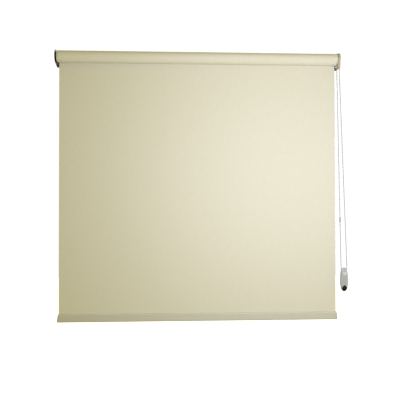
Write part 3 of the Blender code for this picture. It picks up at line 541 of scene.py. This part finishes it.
def makeChainStop(name, node, body, along):
    half, out, bore = chainStop["length"] / 2, chainStop["radius"], chain["bore"]
    start = math.asin((bore + chainStop["mouthWall"]) / out)
    turns = [start + (math.pi - 2 * start) * k / 12 for k in range(13)]
    ball = [(-half * math.cos(a), out * math.sin(a)) for a in turns]
    section = fillet([*ball, (ball[-1][0], bore), (ball[0][0], bore)], chainStop["round"], 1)
    shell = lathe(name + "Ball", section, middleOf(node), along, facets=32)
    side = along.orthogonal().normalized()
    reach, thick, thin = chainStop["ribReach"], chainStop["ribRadius"], chainStop["ribTip"]
    ribs = []
    for number, direction in enumerate((side, -side)):  # hinge and catch of the two halves
        line = [middleOf(node) + direction * (out * chainStop["ribDepth"]) + along * (half * u)
                for u in (-reach - 0.1, -reach, reach, reach + 0.1)]
        rib = skinRings(sweepRings(line, [thin, thick, thick, thin], 8))
        ribs.append(linkMesh(f"{name}Rib{number}", *rib))
    made = joinPieces(name, [shell, *ribs])
    return settle(made, body, clearPlastic, node)


frontAlong = (Vector(strandRoute[5]) - Vector(strandRoute[0])).normalized()
rearAlong = (Vector(strandRoute[-6]) - Vector(strandRoute[-1])).normalized()
frontStop = makeChainStop("chainStopFront", "front_chain_stop", "front_stop", frontAlong)
rearStop = makeChainStop("chainStopRear", "rear_chain_stop", "rear_stop", rearAlong)

link = {
    "length": 0.013,
    "radius": 0.0035,
    "endRadius": 0.0031,
    "waistRadius": 0.0030,
    "taper": 0.0016,       # length of each slope
    "round": 0.0006,
}


def makeConnector():
    half, bore, slope = link["length"] / 2, chain["bore"], link["taper"]
    out, end = link["radius"], link["endRadius"]
    outline = [(-half, bore), (-half, end), (-half + slope, out), (-slope, out), (0, link["waistRadius"]),
               (slope, out), (half - slope, out), (half, end), (half, bore)]
    made = lathe("chainConnector", fillet(outline, link["round"], 3), middleOf("chain_connector"), rearAlong,
                 facets=32)
    return settle(made, "rear_stop", beadPlastic, "chain_connector")


connector = makeConnector()
print("chain strung:", beadCount, "beads,", round(loop.length, 3), "m round")

# fabric: a spiral round the tube, and the length that hangs behind it down into the bottom bar

fabric = {
    "thickness": 0.00040,
    "turns": 7,
    "innerRadius": 0.02210,
    "outerRadius": 0.025575,
    "telescope": 0.0005,   # how unevenly the layers' edges lie
    "ripple": 0.0006,      # how far the hanging cloth strays from flat
    "waves": [(0.6, 5.1, 0.0, 0.8), (0.4, 11.3, 2.2, 0.4)],  # share, run across, run down, start
    "rippleEnd": 0.91,     # share of the drop below which the bar pulls the cloth flat
    "edgeCurl": 0.0002,
    "edgeGap": 0.0004,     # how far the hanging cloth's side edges stop short of the bar's ends
    "edgeColumn": 0.0008,  # share of half the width in the mesh's first and last columns
}
clothLow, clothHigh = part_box("fabric_sheet")
clothHalf = clothHigh.x
clothBack = (clothLow.y + clothHigh.y) / 2
clothFoot = clothLow.z


def layUvs(made, uvs):
    # one (u, v) in metres per vertex
    layer = made.data.uv_layers.new(name="cloth")
    for corner in made.data.loops:
        layer.data[corner.index].uv = uvs[corner.vertex_index]


def acrossAt(i, columns):
    # -1 to 1 across the cloth, with a narrow first and last column so that its cut edges shade crisply
    if i in (0, columns):
        return -1.0 if i == 0 else 1.0
    return (1 - fabric["edgeColumn"]) * (-1 + 2 * (i - 1) / (columns - 2))


def gridPiece(name, columns, rows, place, uvAt):
    verts = [place(i, j) for j in range(rows + 1) for i in range(columns + 1)]
    faces = []
    for j in range(rows):
        for i in range(columns):
            a = j * (columns + 1) + i
            faces.append((a, a + 1, a + columns + 2, a + columns + 1))
    mesh = bpy.data.meshes.new(name)
    mesh.from_pydata([tuple(v) for v in verts], [], faces)
    mesh.shade_smooth()
    made = bpy.data.objects.new(name, mesh)
    bpy.context.collection.objects.link(made)
    layUvs(made, [uvAt(i, j) for j in range(rows + 1) for i in range(columns + 1)])
    thick = made.modifiers.new("thickness", "SOLIDIFY")
    thick.thickness = fabric["thickness"]
    thick.offset = 0
    return made


def makeRoll():
    perTurn, columns = 72, 24
    rows = fabric["turns"] * perTurn
    growth = (fabric["outerRadius"] - fabric["innerRadius"]) / rows

    def place(i, j):
        turn = 2 * math.pi * j / perTurn
        radius = fabric["outerRadius"] - growth * j
        across = acrossAt(i, columns)
        shift = fabric["telescope"] * math.sin(0.9 * turn) * abs(across) ** 6
        x = across * (clothHalf - fabric["telescope"]) + shift
        return x, rollerAxis.y + radius * math.cos(turn), radius * math.sin(turn)

    def uvAt(i, j):
        middle = fabric["outerRadius"] - growth * j / 2
        return acrossAt(i, columns) * clothHalf, 2 * math.pi * j / perTurn * middle

    made = gridPiece("fabricRoll", columns, rows, place, uvAt)
    settle(made, "roller", creamCloth, "fabric_roll")


def makeSheet():
    columns, rows = 72, 110

    def place(i, j):
        across, down = acrossAt(i, columns), j / rows
        free = math.sin(math.pi * down / fabric["rippleEnd"]) ** 0.6 if down < fabric["rippleEnd"] else 0.0
        wave = sum(math.sin(wide * across + tall * down + start) * share
                   for share, wide, tall, start in fabric["waves"])
        drift = fabric["ripple"] * wave * free - fabric["edgeCurl"] * across ** 8 * free
        return across * (clothHalf - fabric["edgeGap"]), clothBack + drift, clothFoot * down

    def uvAt(i, j):
        return acrossAt(i, columns) * clothHalf, clothFoot * j / rows

    made = gridPiece("fabricSheet", columns, rows, place, uvAt)
    settle(made, "root", creamCloth, "fabric_sheet")
    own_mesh(made)


makeRoll()
makeSheet()
print("fabric hung")

# bottom bar

bar = {
    "wall": 0.0013,
    "lipRound": 0.0004,
    "slot": 0.0016,        # mouth that the cloth comes out of
    "neck": 0.0024,        # half the bar's depth at its lips
    "shoulder": 0.006,     # height over which the bar widens
    "chamfer": 0.0002,
}
barLow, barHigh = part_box("hem_bar")
barTop, barFoot = barHigh.z, barLow.z
barMiddle = (barLow.y + barHigh.y) / 2
barDepth = barHigh.y - barLow.y


def barSide(inset):
    # one side of the bar's section, as (depth, height) from its lip down to its foot
    depth, neck = barDepth / 2 - inset, bar["neck"] - inset
    shoulder = bar["shoulder"] - inset
    side = []
    for k in range(9):
        t = k / 8
        wide = math.sin(t * math.pi / 2) ** 0.85
        side.append((neck + (depth - neck) * wide, -inset - shoulder * t ** 1.15))
    foot = -(barTop - barFoot) + barDepth / 2
    turns = [math.pi / 2 * k / 12 for k in range(13)]
    bottom = [(depth * math.cos(a), foot - depth * math.sin(a)) for a in turns]
    return [(bar["slot"] / 2, -inset), *side, *bottom]


def mirrored(side):
    # the whole outline, from its right side
    return [*side, *((-u, v) for u, v in reversed(side[:-1]))]


def extrude(name, outline, start, end, edge=0.0, axis="X", sharp=35):
    # a flat outline drawn out along X, or along Y from its (x, z) points, with or without chamfered ends
    flat = [Vector(p) for p in outline]
    inner = []
    for i, here in enumerate(flat):
        back, on = here - flat[i - 1], flat[(i + 1) % len(flat)] - here
        normal = Vector((back.y + on.y, -back.x - on.x))
        inner.append(here - normal.normalized() * edge if normal.length else here)
    area = sum(a.x * b.y - a.y * b.x for a, b in zip(flat, flat[1:] + flat[:1]))
    if area < 0:
        inner = [here * 2 - moved for here, moved in zip(flat, inner)]
    step = math.copysign(edge, end - start)
    stations = [(start, inner), (start + step, flat), (end - step, flat), (end, inner)] if edge else [
        (start, flat), (end, flat)]
    put = {"X": lambda at, p: (at, p.x, p.y), "Y": lambda at, p: (p.x, at, p.y)}[axis]
    rings = [[put(at, p) for p in ring] for at, ring in stations]
    return linkMesh(name, *skinRings(rings), sharp=sharp)


def makeBottomBar():
    outline = mirrored(barSide(0)) + mirrored(barSide(bar["wall"]))[::-1]
    section = [(barMiddle + u, barTop + v) for u, v in fillet(outline, bar["lipRound"], 2)]
    made = extrude("bottomBar", section, barLow.x, barHigh.x, bar["chamfer"], sharp=28)
    settle(made, "bottom_bar", railPaint, "hem_bar")


cap = {
    "gap": 0.00035,        # from the cloth's and the bar's ends
    "round": 0.0009,
    "roundTop": 0.01,      # the rounding lowers what is less than this below the bar's lips,
    "roundFoot": 0.03,     # and raises what is further than this below them
    "lean": 0.6,           # how far the outer face leans in at its top, of the cap's thickness
    "leanHeight": 0.6,     # height over which it leans, of the bar's
    "tongueReach": 0.0158, # tongue's end from the cap's outer face
    "tongueTop": 0.014,    # below the bar's lips
    "tongueShare": (0.70, 0.93),  # of the bar's depth and height
    "tongueDrop": 0.001,
    "tongueChamfer": 0.0004,
}


def makeBarCap(name, node, side):
    low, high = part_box(node)
    outer = high.x if side > 0 else low.x
    inner = side * (clothHalf + cap["gap"])
    thick = abs(outer - inner)
    full = mirrored(barSide(0)[1:])
    rings = []
    height = barTop - barFoot
    for step in range(7):  # rounded outer edge
        turn = math.pi / 2 * step / 6
        inset = cap["round"] * (1 - math.cos(turn))
        reach = thick - cap["round"] + cap["round"] * math.sin(turn)
        ring = []
        for u, v in full:
            shrink = 1 - inset / (barDepth / 2)
            lean = max(0.0, 1 + v / (height * cap["leanHeight"])) * thick * cap["lean"] * (reach / thick)
            drop = -inset if v > -cap["roundTop"] else inset if v < -cap["roundFoot"] else 0
            ring.append((inner + side * (reach - lean), barMiddle + u * shrink, barTop + v + drop))
        rings.append(ring)
    base = [(inner, barMiddle + u, barTop + v) for u, v in full]
    shell = linkMesh(name + "Shell", *skinRings([base, *rings]), sharp=40)
    across, down = cap["tongueShare"]
    inside = [(barMiddle + u * across, barTop + (v * down - cap["tongueDrop"])) for u, v in full
              if v < -cap["tongueTop"]]
    tongue = extrude(name + "Tongue", inside, inner, outer - side * cap["tongueReach"], cap["tongueChamfer"])
    made = joinPieces(name, [shell, tongue])
    settle(made, "bottom_bar", capPlastic, node)


makeBottomBar()
makeBarCap("barCapLeft", "hem_bar_cap_left", -1)
makeBarCap("barCapRight", "hem_bar_cap_right", 1)
print("bottom bar made")

# clutch: sprocket with a pocket for each bead, and the springs wrapped on the post

sprocket = {
    "ridge": 0.0021,       # how far the teeth between the pockets stand up
    "threadCut": 0.35,     # how much lower they are in the middle, where the thread runs
    "floorRise": 0.0014,   # groove's floor from its middle to its sides
    "rim": 0.001,          # past the beads' middles
    "lip": 0.00045,
    "hubRadius": 0.0126,
    "hubLength": 0.017,
    "postRadius": 0.008,
    "recess": 0.0130,
    "gap": 0.00035,
}


def grooveFloor(groove, root, rise):
    turns = [math.pi * k / 10 for k in range(10, -1, -1)]
    return [(groove * math.cos(a), root + rise * (1 - math.sin(a))) for a in turns]


def pocketed(groove, root, zero, across, pockets, wheel):
    # the groove's floor, at its lowest in the middle of a pocket and a ridge higher between two

    def radiusAt(u, r, out):
        if abs(u) >= groove * 0.999 or not root - 0.0001 < r < root + 0.002:
            return r
        angle = math.atan2(out.dot(across), out.dot(zero))
        depth = wheel["ridge"] * (0.5 - 0.5 * math.cos(pockets * angle)) ** 1.5
        return r + (1 - wheel["threadCut"] * (1 - abs(u) / groove)) * depth

    return radiusAt


def makeSprocket():
    pockets, gap = chain["sprocketPockets"], sprocket["gap"]
    groove = chain["bead"] / 2 + gap
    half, rim = groove + sprocket["lip"], sprocketPitch + sprocket["rim"]
    root = sprocketPitch - chain["bead"] / 2 - gap
    bore, recess, ledge = sprocket["postRadius"] + gap, sprocket["recess"], chain["bead"] / 4 - gap
    hub, start = sprocket["hubRadius"], -sprocket["hubLength"]
    profile = [(start, bore), (start, hub), (-half, hub), (-half, rim), (-groove, rim),
               *grooveFloor(groove, root, sprocket["floorRise"]), (groove, rim), (half, rim),
               (half, recess), (ledge, recess), (ledge, bore)]
    shape = pocketed(groove, root, Vector((0, 0, 1)), Vector((0, 1, 0)), pockets, sprocket)
    made = lathe("chainSprocket", profile, sprocketAt, facets=pockets * 8, radiusAt=shape)
    settle(made, "roller", greyPlastic, "chain_sprocket")


springs = {
    "wrap": {"radius": 0.0090, "wire": 0.0011, "turns": 5, "tail": 0.0012},
    "pin": {"radius": 0.0047, "wire": 0.0009, "turns": 9, "tail": 0},
    "stepsPerTurn": 28,
}


def makeCoil(name, node, spring, body):
    low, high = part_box(node)
    radius, wire, tail = spring["radius"], spring["wire"], spring["tail"]
    steps = springs["stepsPerTurn"]
    start, length = low.x + wire / 2, high.x - low.x - wire
    centres = []
    for i in range(spring["turns"] * steps + 1):
        turn = 2 * math.pi * i / steps
        centres.append((start + length * i / (spring["turns"] * steps),
                        rollerAxis.y + radius * math.cos(turn), radius * math.sin(turn)))
    if tail:  # the end of the wire is bent outward
        centres.append((centres[-1][0], rollerAxis.y + radius + tail * 0.5, tail * 0.3))
        centres.append((centres[-1][0], rollerAxis.y + radius + tail, tail * 0.4))
    rings = sweepRings(centres, [wire / 2] * len(centres), 10)
    made = linkMesh(name, *skinRings(rings), sharp=60)
    return settle(made, body, brightSteel, node)


makeSprocket()
makeCoil("wrapSpringInner", "wrap_spring_inner", springs["wrap"], "roller")
makeCoil("wrapSpringOuter", "wrap_spring_outer", springs["wrap"], "roller")
pinSpring = makeCoil("idlePinSpring", "idle_pin_spring", springs["pin"], "roller")
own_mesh(pinSpring)
print("clutch and springs made")

# chain weight: two shells clipped round a pulley, with a black foot and a light cover plate

weight = {
    "half": (0.0175, 0.008, 0.0515),  # half its width, depth and height
    "squareness": 2.5,     # 2 is an oval, more is boxier
    "taper": 0.10,         # narrowing at the top, of its width
    "crown": 3.4,          # the same as squareness, from the front to the sides
    "crownShare": 0.03,    # flat middle of each dome
    "wall": 0.0016,
    "tipRound": 1.45,
    "tipGap": 0.00025,
    "parting": 0.0001,     # each shell's edge from the middle plane
    "channelRadius": 0.0030,
    "chainIn": (0.6423, -0.0456, -0.893),
    "chainOut": (0.6172, -0.0444, -0.893),
    "axleRoom": (0.0022, 0.02),      # radius and half length of the hole for the axle
    "pulleyRoom": (0.0112, 0.0045),  # and of the room for the pulley
}
shellLow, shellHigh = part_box("weight_front_shell")
weightHalf = Vector(weight["half"])
weightAt = Vector(((shellLow.x + shellHigh.x) / 2, pulleyAt.y, shellHigh.z - weightHalf.z))


def powered(value, power):
    # a power that keeps the sign
    return math.copysign(abs(value) ** power, value)


def weightOutline(inset, count=72):
    wide, tall = weightHalf.x - inset, weightHalf.z - inset
    points = []
    power = 2 / weight["squareness"]
    for i in range(count):
        a = 2 * math.pi * i / count
        u, v = powered(math.cos(a), power), powered(math.sin(a), power)
        points.append((wide * u * (1 - weight["taper"] * max(v, 0)), tall * v))
    return points


def domeRings(outline, middle, reach, foot, front, count=14):
    # rings from the outline at the parting face in to the crown of the dome
    rings = []
    power = 2 / weight["crown"]
    for k in range(count + 1):
        turn = math.pi / 2 * k / count
        share = max(weight["crownShare"], abs(math.cos(turn)) ** power)
        depth = foot + (reach - foot) * math.sin(turn) ** power
        rings.append([(middle.x + u * share, middle.y + front * depth, middle.z + v * share)
                      for u, v in outline])
    return rings


def tipOutline(grown, count=48):
    low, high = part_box("weight_base_plug")
    middle = (low + high) / 2
    wide, tall = (high.x - low.x) / 2 + grown, (high.z - low.z) / 2 + grown
    power = 2 / weight["tipRound"]
    points = []
    for i in range(count):
        a = 2 * math.pi * i / count
        points.append((wide * powered(math.cos(a), power), tall * powered(math.sin(a), power)))
    return points, middle


def channelCutter(name, start, end, count=60):
    centres = [loop.point(start + (end - start) * k / count) for k in range(count + 1)]
    rings = sweepRings(centres, [weight["channelRadius"]] * len(centres), 16)
    return linkMesh(name, *skinRings(rings), sharp=60)


def roundCutter(name, room, facets):
    radius, half = weight[room]
    return lathe(name, [(-half, 0), (-half, radius), (half, radius), (half, 0)], pulleyAt, (0, 1, 0),
                 facets, closed=False)


def makeWeight():
    tipPoints, tipMiddle = tipOutline(weight["tipGap"])
    through = 0.02  # cutters reach past both shells
    cutters = [
        channelCutter("chainChannel", loop.nearest(weight["chainIn"]), loop.nearest(weight["chainOut"])),
        extrude("tipRoomCutter", [(tipMiddle.x + u, tipMiddle.z + v) for u, v in tipPoints],
                pulleyAt.y - through, pulleyAt.y + through, axis="Y"),
        roundCutter("axleRoomCutter", "axleRoom", 32),
        roundCutter("pulleyRoomCutter", "pulleyRoom", 48),
    ]
    wall, parting = weight["wall"], weight["parting"]
    for name, node, front in (("weightShellFront", "weight_front_shell", -1),
                              ("weightShellRear", "weight_rear_shell", 1)):
        outside = domeRings(weightOutline(0), weightAt, weightHalf.y, parting, front)
        inside = domeRings(weightOutline(wall), weightAt, weightHalf.y - wall, parting, front)
        shell = linkMesh(name, *skinRings([*reversed(inside), *outside]), sharp=60)
        carve(shell, cutters)
        settle(shell, "root", greyPlastic, node)
    dropHelpers(cutters)


def makeTip():
    low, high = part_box("weight_base_plug")
    points, middle = tipOutline(0)
    reach = (high.y - low.y) / 2
    back = domeRings(points, middle, reach, 0, 1, 16)
    front = domeRings(points, middle, reach, 0, -1, 16)
    made = linkMesh("weightTip", *skinRings([*reversed(back), *front[1:]]), sharp=60)
    settle(made, "root", blackPlastic, "weight_base_plug")


def plate(name, outlines, start, end, edge):
    # a flat plate with holes and rounded edges, from closed outlines of (x, z) points
    curve = bpy.data.curves.new(name, "CURVE")
    curve.dimensions = "2D"
    curve.fill_mode = "BOTH"
    curve.extrude = abs(end - start) / 2 - edge
    curve.bevel_depth = edge
    curve.bevel_resolution = 2
    curve.offset = -edge
    for outline in outlines:
        spline = curve.splines.new("POLY")
        spline.use_cyclic_u = True
        spline.points.add(len(outline) - 1)
        for point, (u, v) in zip(spline.points, outline):
            point.co = (u, v, 0, 1)
    made = bpy.data.objects.new(name, curve)
    bpy.context.collection.objects.link(made)
    bpy.context.view_layer.update()
    mesh = bpy.data.meshes.new_from_object(made.evaluated_get(bpy.context.evaluated_depsgraph_get()))
    bpy.data.objects.remove(made)
    mesh.transform(Matrix(((1, 0, 0, 0), (0, 0, -1, (start + end) / 2), (0, 1, 0, 0), (0, 0, 0, 1))))
    bm = bmesh.new()
    bm.from_mesh(mesh)
    bmesh.ops.remove_doubles(bm, verts=bm.verts[:], dist=1e-6)
    bmesh.ops.recalc_face_normals(bm, faces=bm.faces[:])
    bm.to_mesh(mesh)
    bm.free()
    shadeMesh(mesh, 30)
    done = bpy.data.objects.new(name, mesh)
    bpy.context.collection.objects.link(done)
    return done


def arcPoints(centre, radius, start, end, steps):
    turns = [math.radians(start + (end - start) * k / steps) for k in range(steps + 1)]
    return [(centre[0] + radius * math.cos(a), centre[1] + radius * math.sin(a)) for a in turns]


coverPlate = {
    "cornerRadius": 0.0030,
    "holeRadius": 0.0013,
    "edge": 0.00025,
    "corners": [(-0.0088, 0.0040), (0.0088, 0.0040), (0.0010, -0.0068)],
}


def makeCoverPlate():
    low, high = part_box("weight_pulley_cover")
    left, right, below = [(pulleyAt.x + u, pulleyAt.z + v) for u, v in coverPlate["corners"]]
    outline = []
    for centre, begin in ((below, -150), (right, -30), (left, 90)):
        outline += arcPoints(centre, coverPlate["cornerRadius"], begin, begin + 120, 10)
    holes = [arcPoints(centre, coverPlate["holeRadius"], 0, 342, 19) for centre in (left, right, below)]
    made = plate("weightCoverPlate", [outline, *holes], low.y, high.y, coverPlate["edge"])
    settle(made, "root", badgePlastic, "weight_pulley_cover")


pulley = {
    "ridge": 0.0018,
    "threadCut": 0.3,
    "floorRise": 0.0013,
    "rim": 0.001,
    "lip": 0.0009,
    "chamfer": 0.0004,
    "bore": 0.00235,
    "gap": 0.00035,
}


def lowestBead():
    foot = pulleyAt - Vector((0, 0, pulleyPitch))
    return min((loop.point(s) for s in hangingPlaces), key=lambda bead: (bead - foot).length)


def makePulley():
    pockets, bore, cut = chain["pulleyPockets"], pulley["bore"], pulley["chamfer"]
    root = pulleyPitch - chain["bead"] / 2 - pulley["gap"]
    rim, half = pulleyPitch + pulley["rim"], (pulleyHigh.y - pulleyLow.y) / 2
    groove = half - pulley["lip"]
    profile = [(-half, bore), (-half, rim - cut), (-half + cut, rim), (-groove, rim),
               *grooveFloor(groove, root, pulley["floorRise"]), (groove, rim), (half - cut, rim),
               (half, rim - cut), (half, bore)]
    zero = (lowestBead() - pulleyAt).normalized()  # the pockets line up with the beads
    shape = pocketed(groove, root, zero, zero.cross(Vector((0, 1, 0))), pockets, pulley)
    made = lathe("weightPulley", profile, pulleyAt, (0, 1, 0), pockets * 10, radiusAt=shape)
    settle(made, "weight_pulley", ivoryPlastic, "weight_pulley")


makeWeight()
makeTip()
makeCoverPlate()
makePulley()
print("chain weight made")

# the CAD pieces that stay get softened edges and their own finish

weldWithin = 0.000002
sharpAngle = 35
keptPieces = {             # finish, and the width of the softened edges
    "roller_tube": (millAluminium, 0.0),
    "fabric_spline": (clearPlastic, 0.0002),
    "idle_end_plug": (ivoryPlastic, 0.0003),
    "idle_plug_cap": (blackPlastic, 0.0003),
    "idle_pin": (brightSteel, 0.0002),
    "idle_bush": (ivoryPlastic, 0.0002),
    "idle_bracket": (blackSteel, 0.00035),
    "idle_bracket_cover": (blackPlastic, 0.0006),
    "drive_crown": (ivoryPlastic, 0.0003),
    "clutch_post": (creamPlastic, 0.0002),
    "clutch_washer": (brightSteel, 0.0002),
    "clutch_screw": (brightSteel, 0.0002),
    # the chain guard gets the darker brown plastic, painted shade on a cream part
    "chain_guard": (guardPlasticPaintedShade, 0.00025),
    "control_bracket": (blackSteel, 0.00035),
    "control_bracket_cover": (creamPlastic, 0.0005),
    "hem_spline": (clearPlastic, 0.0003),
    "weight_ballast": (brightSteel, 0.0004),
    "weight_axle": (brightSteel, 0.0002),
}


def dressNode(name, finish, edge):
    node = nodes[name]
    node.material_slots[0].material = finish
    node.data.shade_smooth()
    weld = node.modifiers.new("weld", "WELD")
    weld.merge_threshold = weldWithin
    if edge:
        bevel = node.modifiers.new("softEdges", "BEVEL")
        bevel.width = edge
        bevel.segments = 2
        bevel.limit_method = "ANGLE"
        bevel.angle_limit = math.radians(sharpAngle)
        bevel.use_clamp_overlap = True
        level = node.modifiers.new("evenShading", "WEIGHTED_NORMAL")
        level.keep_sharp = True
    else:
        split = node.modifiers.new("sharpEdges", "EDGE_SPLIT")
        split.split_angle = math.radians(sharpAngle)


for name, (finish, edge) in keptPieces.items():
    dressNode(name, finish, edge)
print("kept pieces dressed")

# the hanging part of the loop, as a list of its points

[tuple(p) for p in strandLine.points]

# studio: white all round for the camera, warm ambient light, a soft key from the right front,
# and lamps behind and at both sides that reach only what the front hides

studio = {
    "ambient": 0.40,
    "ambientColour": (1.0, 0.93, 0.31),
    "ambientLean": 0.85,   # how much weaker it is from the left and stronger from the right
    "keyPlace": (0.42, -1.36, -0.465),
    "keyAim": (0.42, 0.0, -0.465),
    "keySize": 0.5,
    "keyPower": 15.4,
    "keyColour": (0.97, 1.015, 1.28),
    "backPlace": (0.2, 1.9, 0.3),
    "backAim": (0.0, 0.0, -0.5),
    "backSize": 1.2,
    "backPower": 40.0,
    "backColour": (0.86, 0.85, 1.0),
    "rightPlace": (2.7, 0.45, -0.3),
    "rightAim": (0.6, 0.0, -0.3),
    "rightSize": 0.5,
    "rightPower": 16.0,
    "rightColour": (0.62, 0.78, 1.0),
    "leftPlace": (-2.7, 0.45, -0.3),
    "leftAim": (-0.6, 0.0, -0.3),
    "leftSize": 0.5,
    "leftPower": 4.0,
    "leftColour": (0.80, 0.88, 1.0),
    "backdrop": 1.05,      # white that the camera sees
    "floorHeight": -1.75,
    "floorSize": 14,
}


def addLight(name, place, aim, size, power, colour):
    data = bpy.data.lights.new(name, "AREA")
    data.shape = "SQUARE"
    data.size = size
    data.energy = power
    data.color = colour
    made = bpy.data.objects.new(name, data)
    made.location = place
    made.rotation_euler = (Vector(aim) - Vector(place)).to_track_quat("-Z", "Y").to_euler()
    made.visible_camera = False
    bpy.context.collection.objects.link(made)


def setWorld():
    world = bpy.data.worlds.new("studioWorld")
    world.use_nodes = True
    tree = world.node_tree
    ground = tree.nodes["Background"]
    ground.inputs["Color"].default_value = (*studio["ambientColour"], 1)
    coords = tree.nodes.new("ShaderNodeTexCoord")
    axes = tree.nodes.new("ShaderNodeSeparateXYZ")
    tree.links.new(coords.outputs["Generated"], axes.inputs["Vector"])
    lean = addMath(tree, "MULTIPLY_ADD", axes.outputs["X"], studio["ambientLean"] * studio["ambient"])
    lean.node.inputs[2].default_value = studio["ambient"]
    tree.links.new(lean, ground.inputs["Strength"])
    seen = tree.nodes.new("ShaderNodeBackground")
    seen.inputs["Color"].default_value = (1, 1, 1, 1)
    seen.inputs["Strength"].default_value = studio["backdrop"]
    path = tree.nodes.new("ShaderNodeLightPath")
    mix = tree.nodes.new("ShaderNodeMixShader")
    tree.links.new(path.outputs["Is Camera Ray"], mix.inputs["Fac"])
    tree.links.new(ground.outputs["Background"], mix.inputs[1])
    tree.links.new(seen.outputs["Background"], mix.inputs[2])
    tree.links.new(mix.outputs["Shader"], tree.nodes["World Output"].inputs["Surface"])
    bpy.context.scene.world = world


def addFloor():
    half, height = studio["floorSize"] / 2, studio["floorHeight"]
    corners = [(-half, -half, height), (half, -half, height), (half, half, height), (-half, half, height)]
    made = linkMesh("studioFloor", corners, [(0, 1, 2, 3)])
    paint = bpy.data.materials.new("floorPaint")
    paint.use_nodes = True
    shader = paint.node_tree.nodes["Principled BSDF"]
    shader.inputs["Base Color"].default_value = (0.9, 0.9, 0.9, 1)
    shader.inputs["Roughness"].default_value = 0.9
    shader.inputs["Emission Color"].default_value = (1, 1, 1, 1)
    shader.inputs["Emission Strength"].default_value = 1.0
    made.data.materials.append(paint)
    made.visible_diffuse = False  # the pale floor shows, but throws no light up on the blind
    made.visible_glossy = False


setWorld()
addFloor()
for role in ("key", "back", "right", "left"):
    addLight(role + "Light", *(studio[role + part] for part in ("Place", "Aim", "Size", "Power", "Colour")))
bpy.context.scene.view_settings.view_transform = "Standard"
print("studio lit")
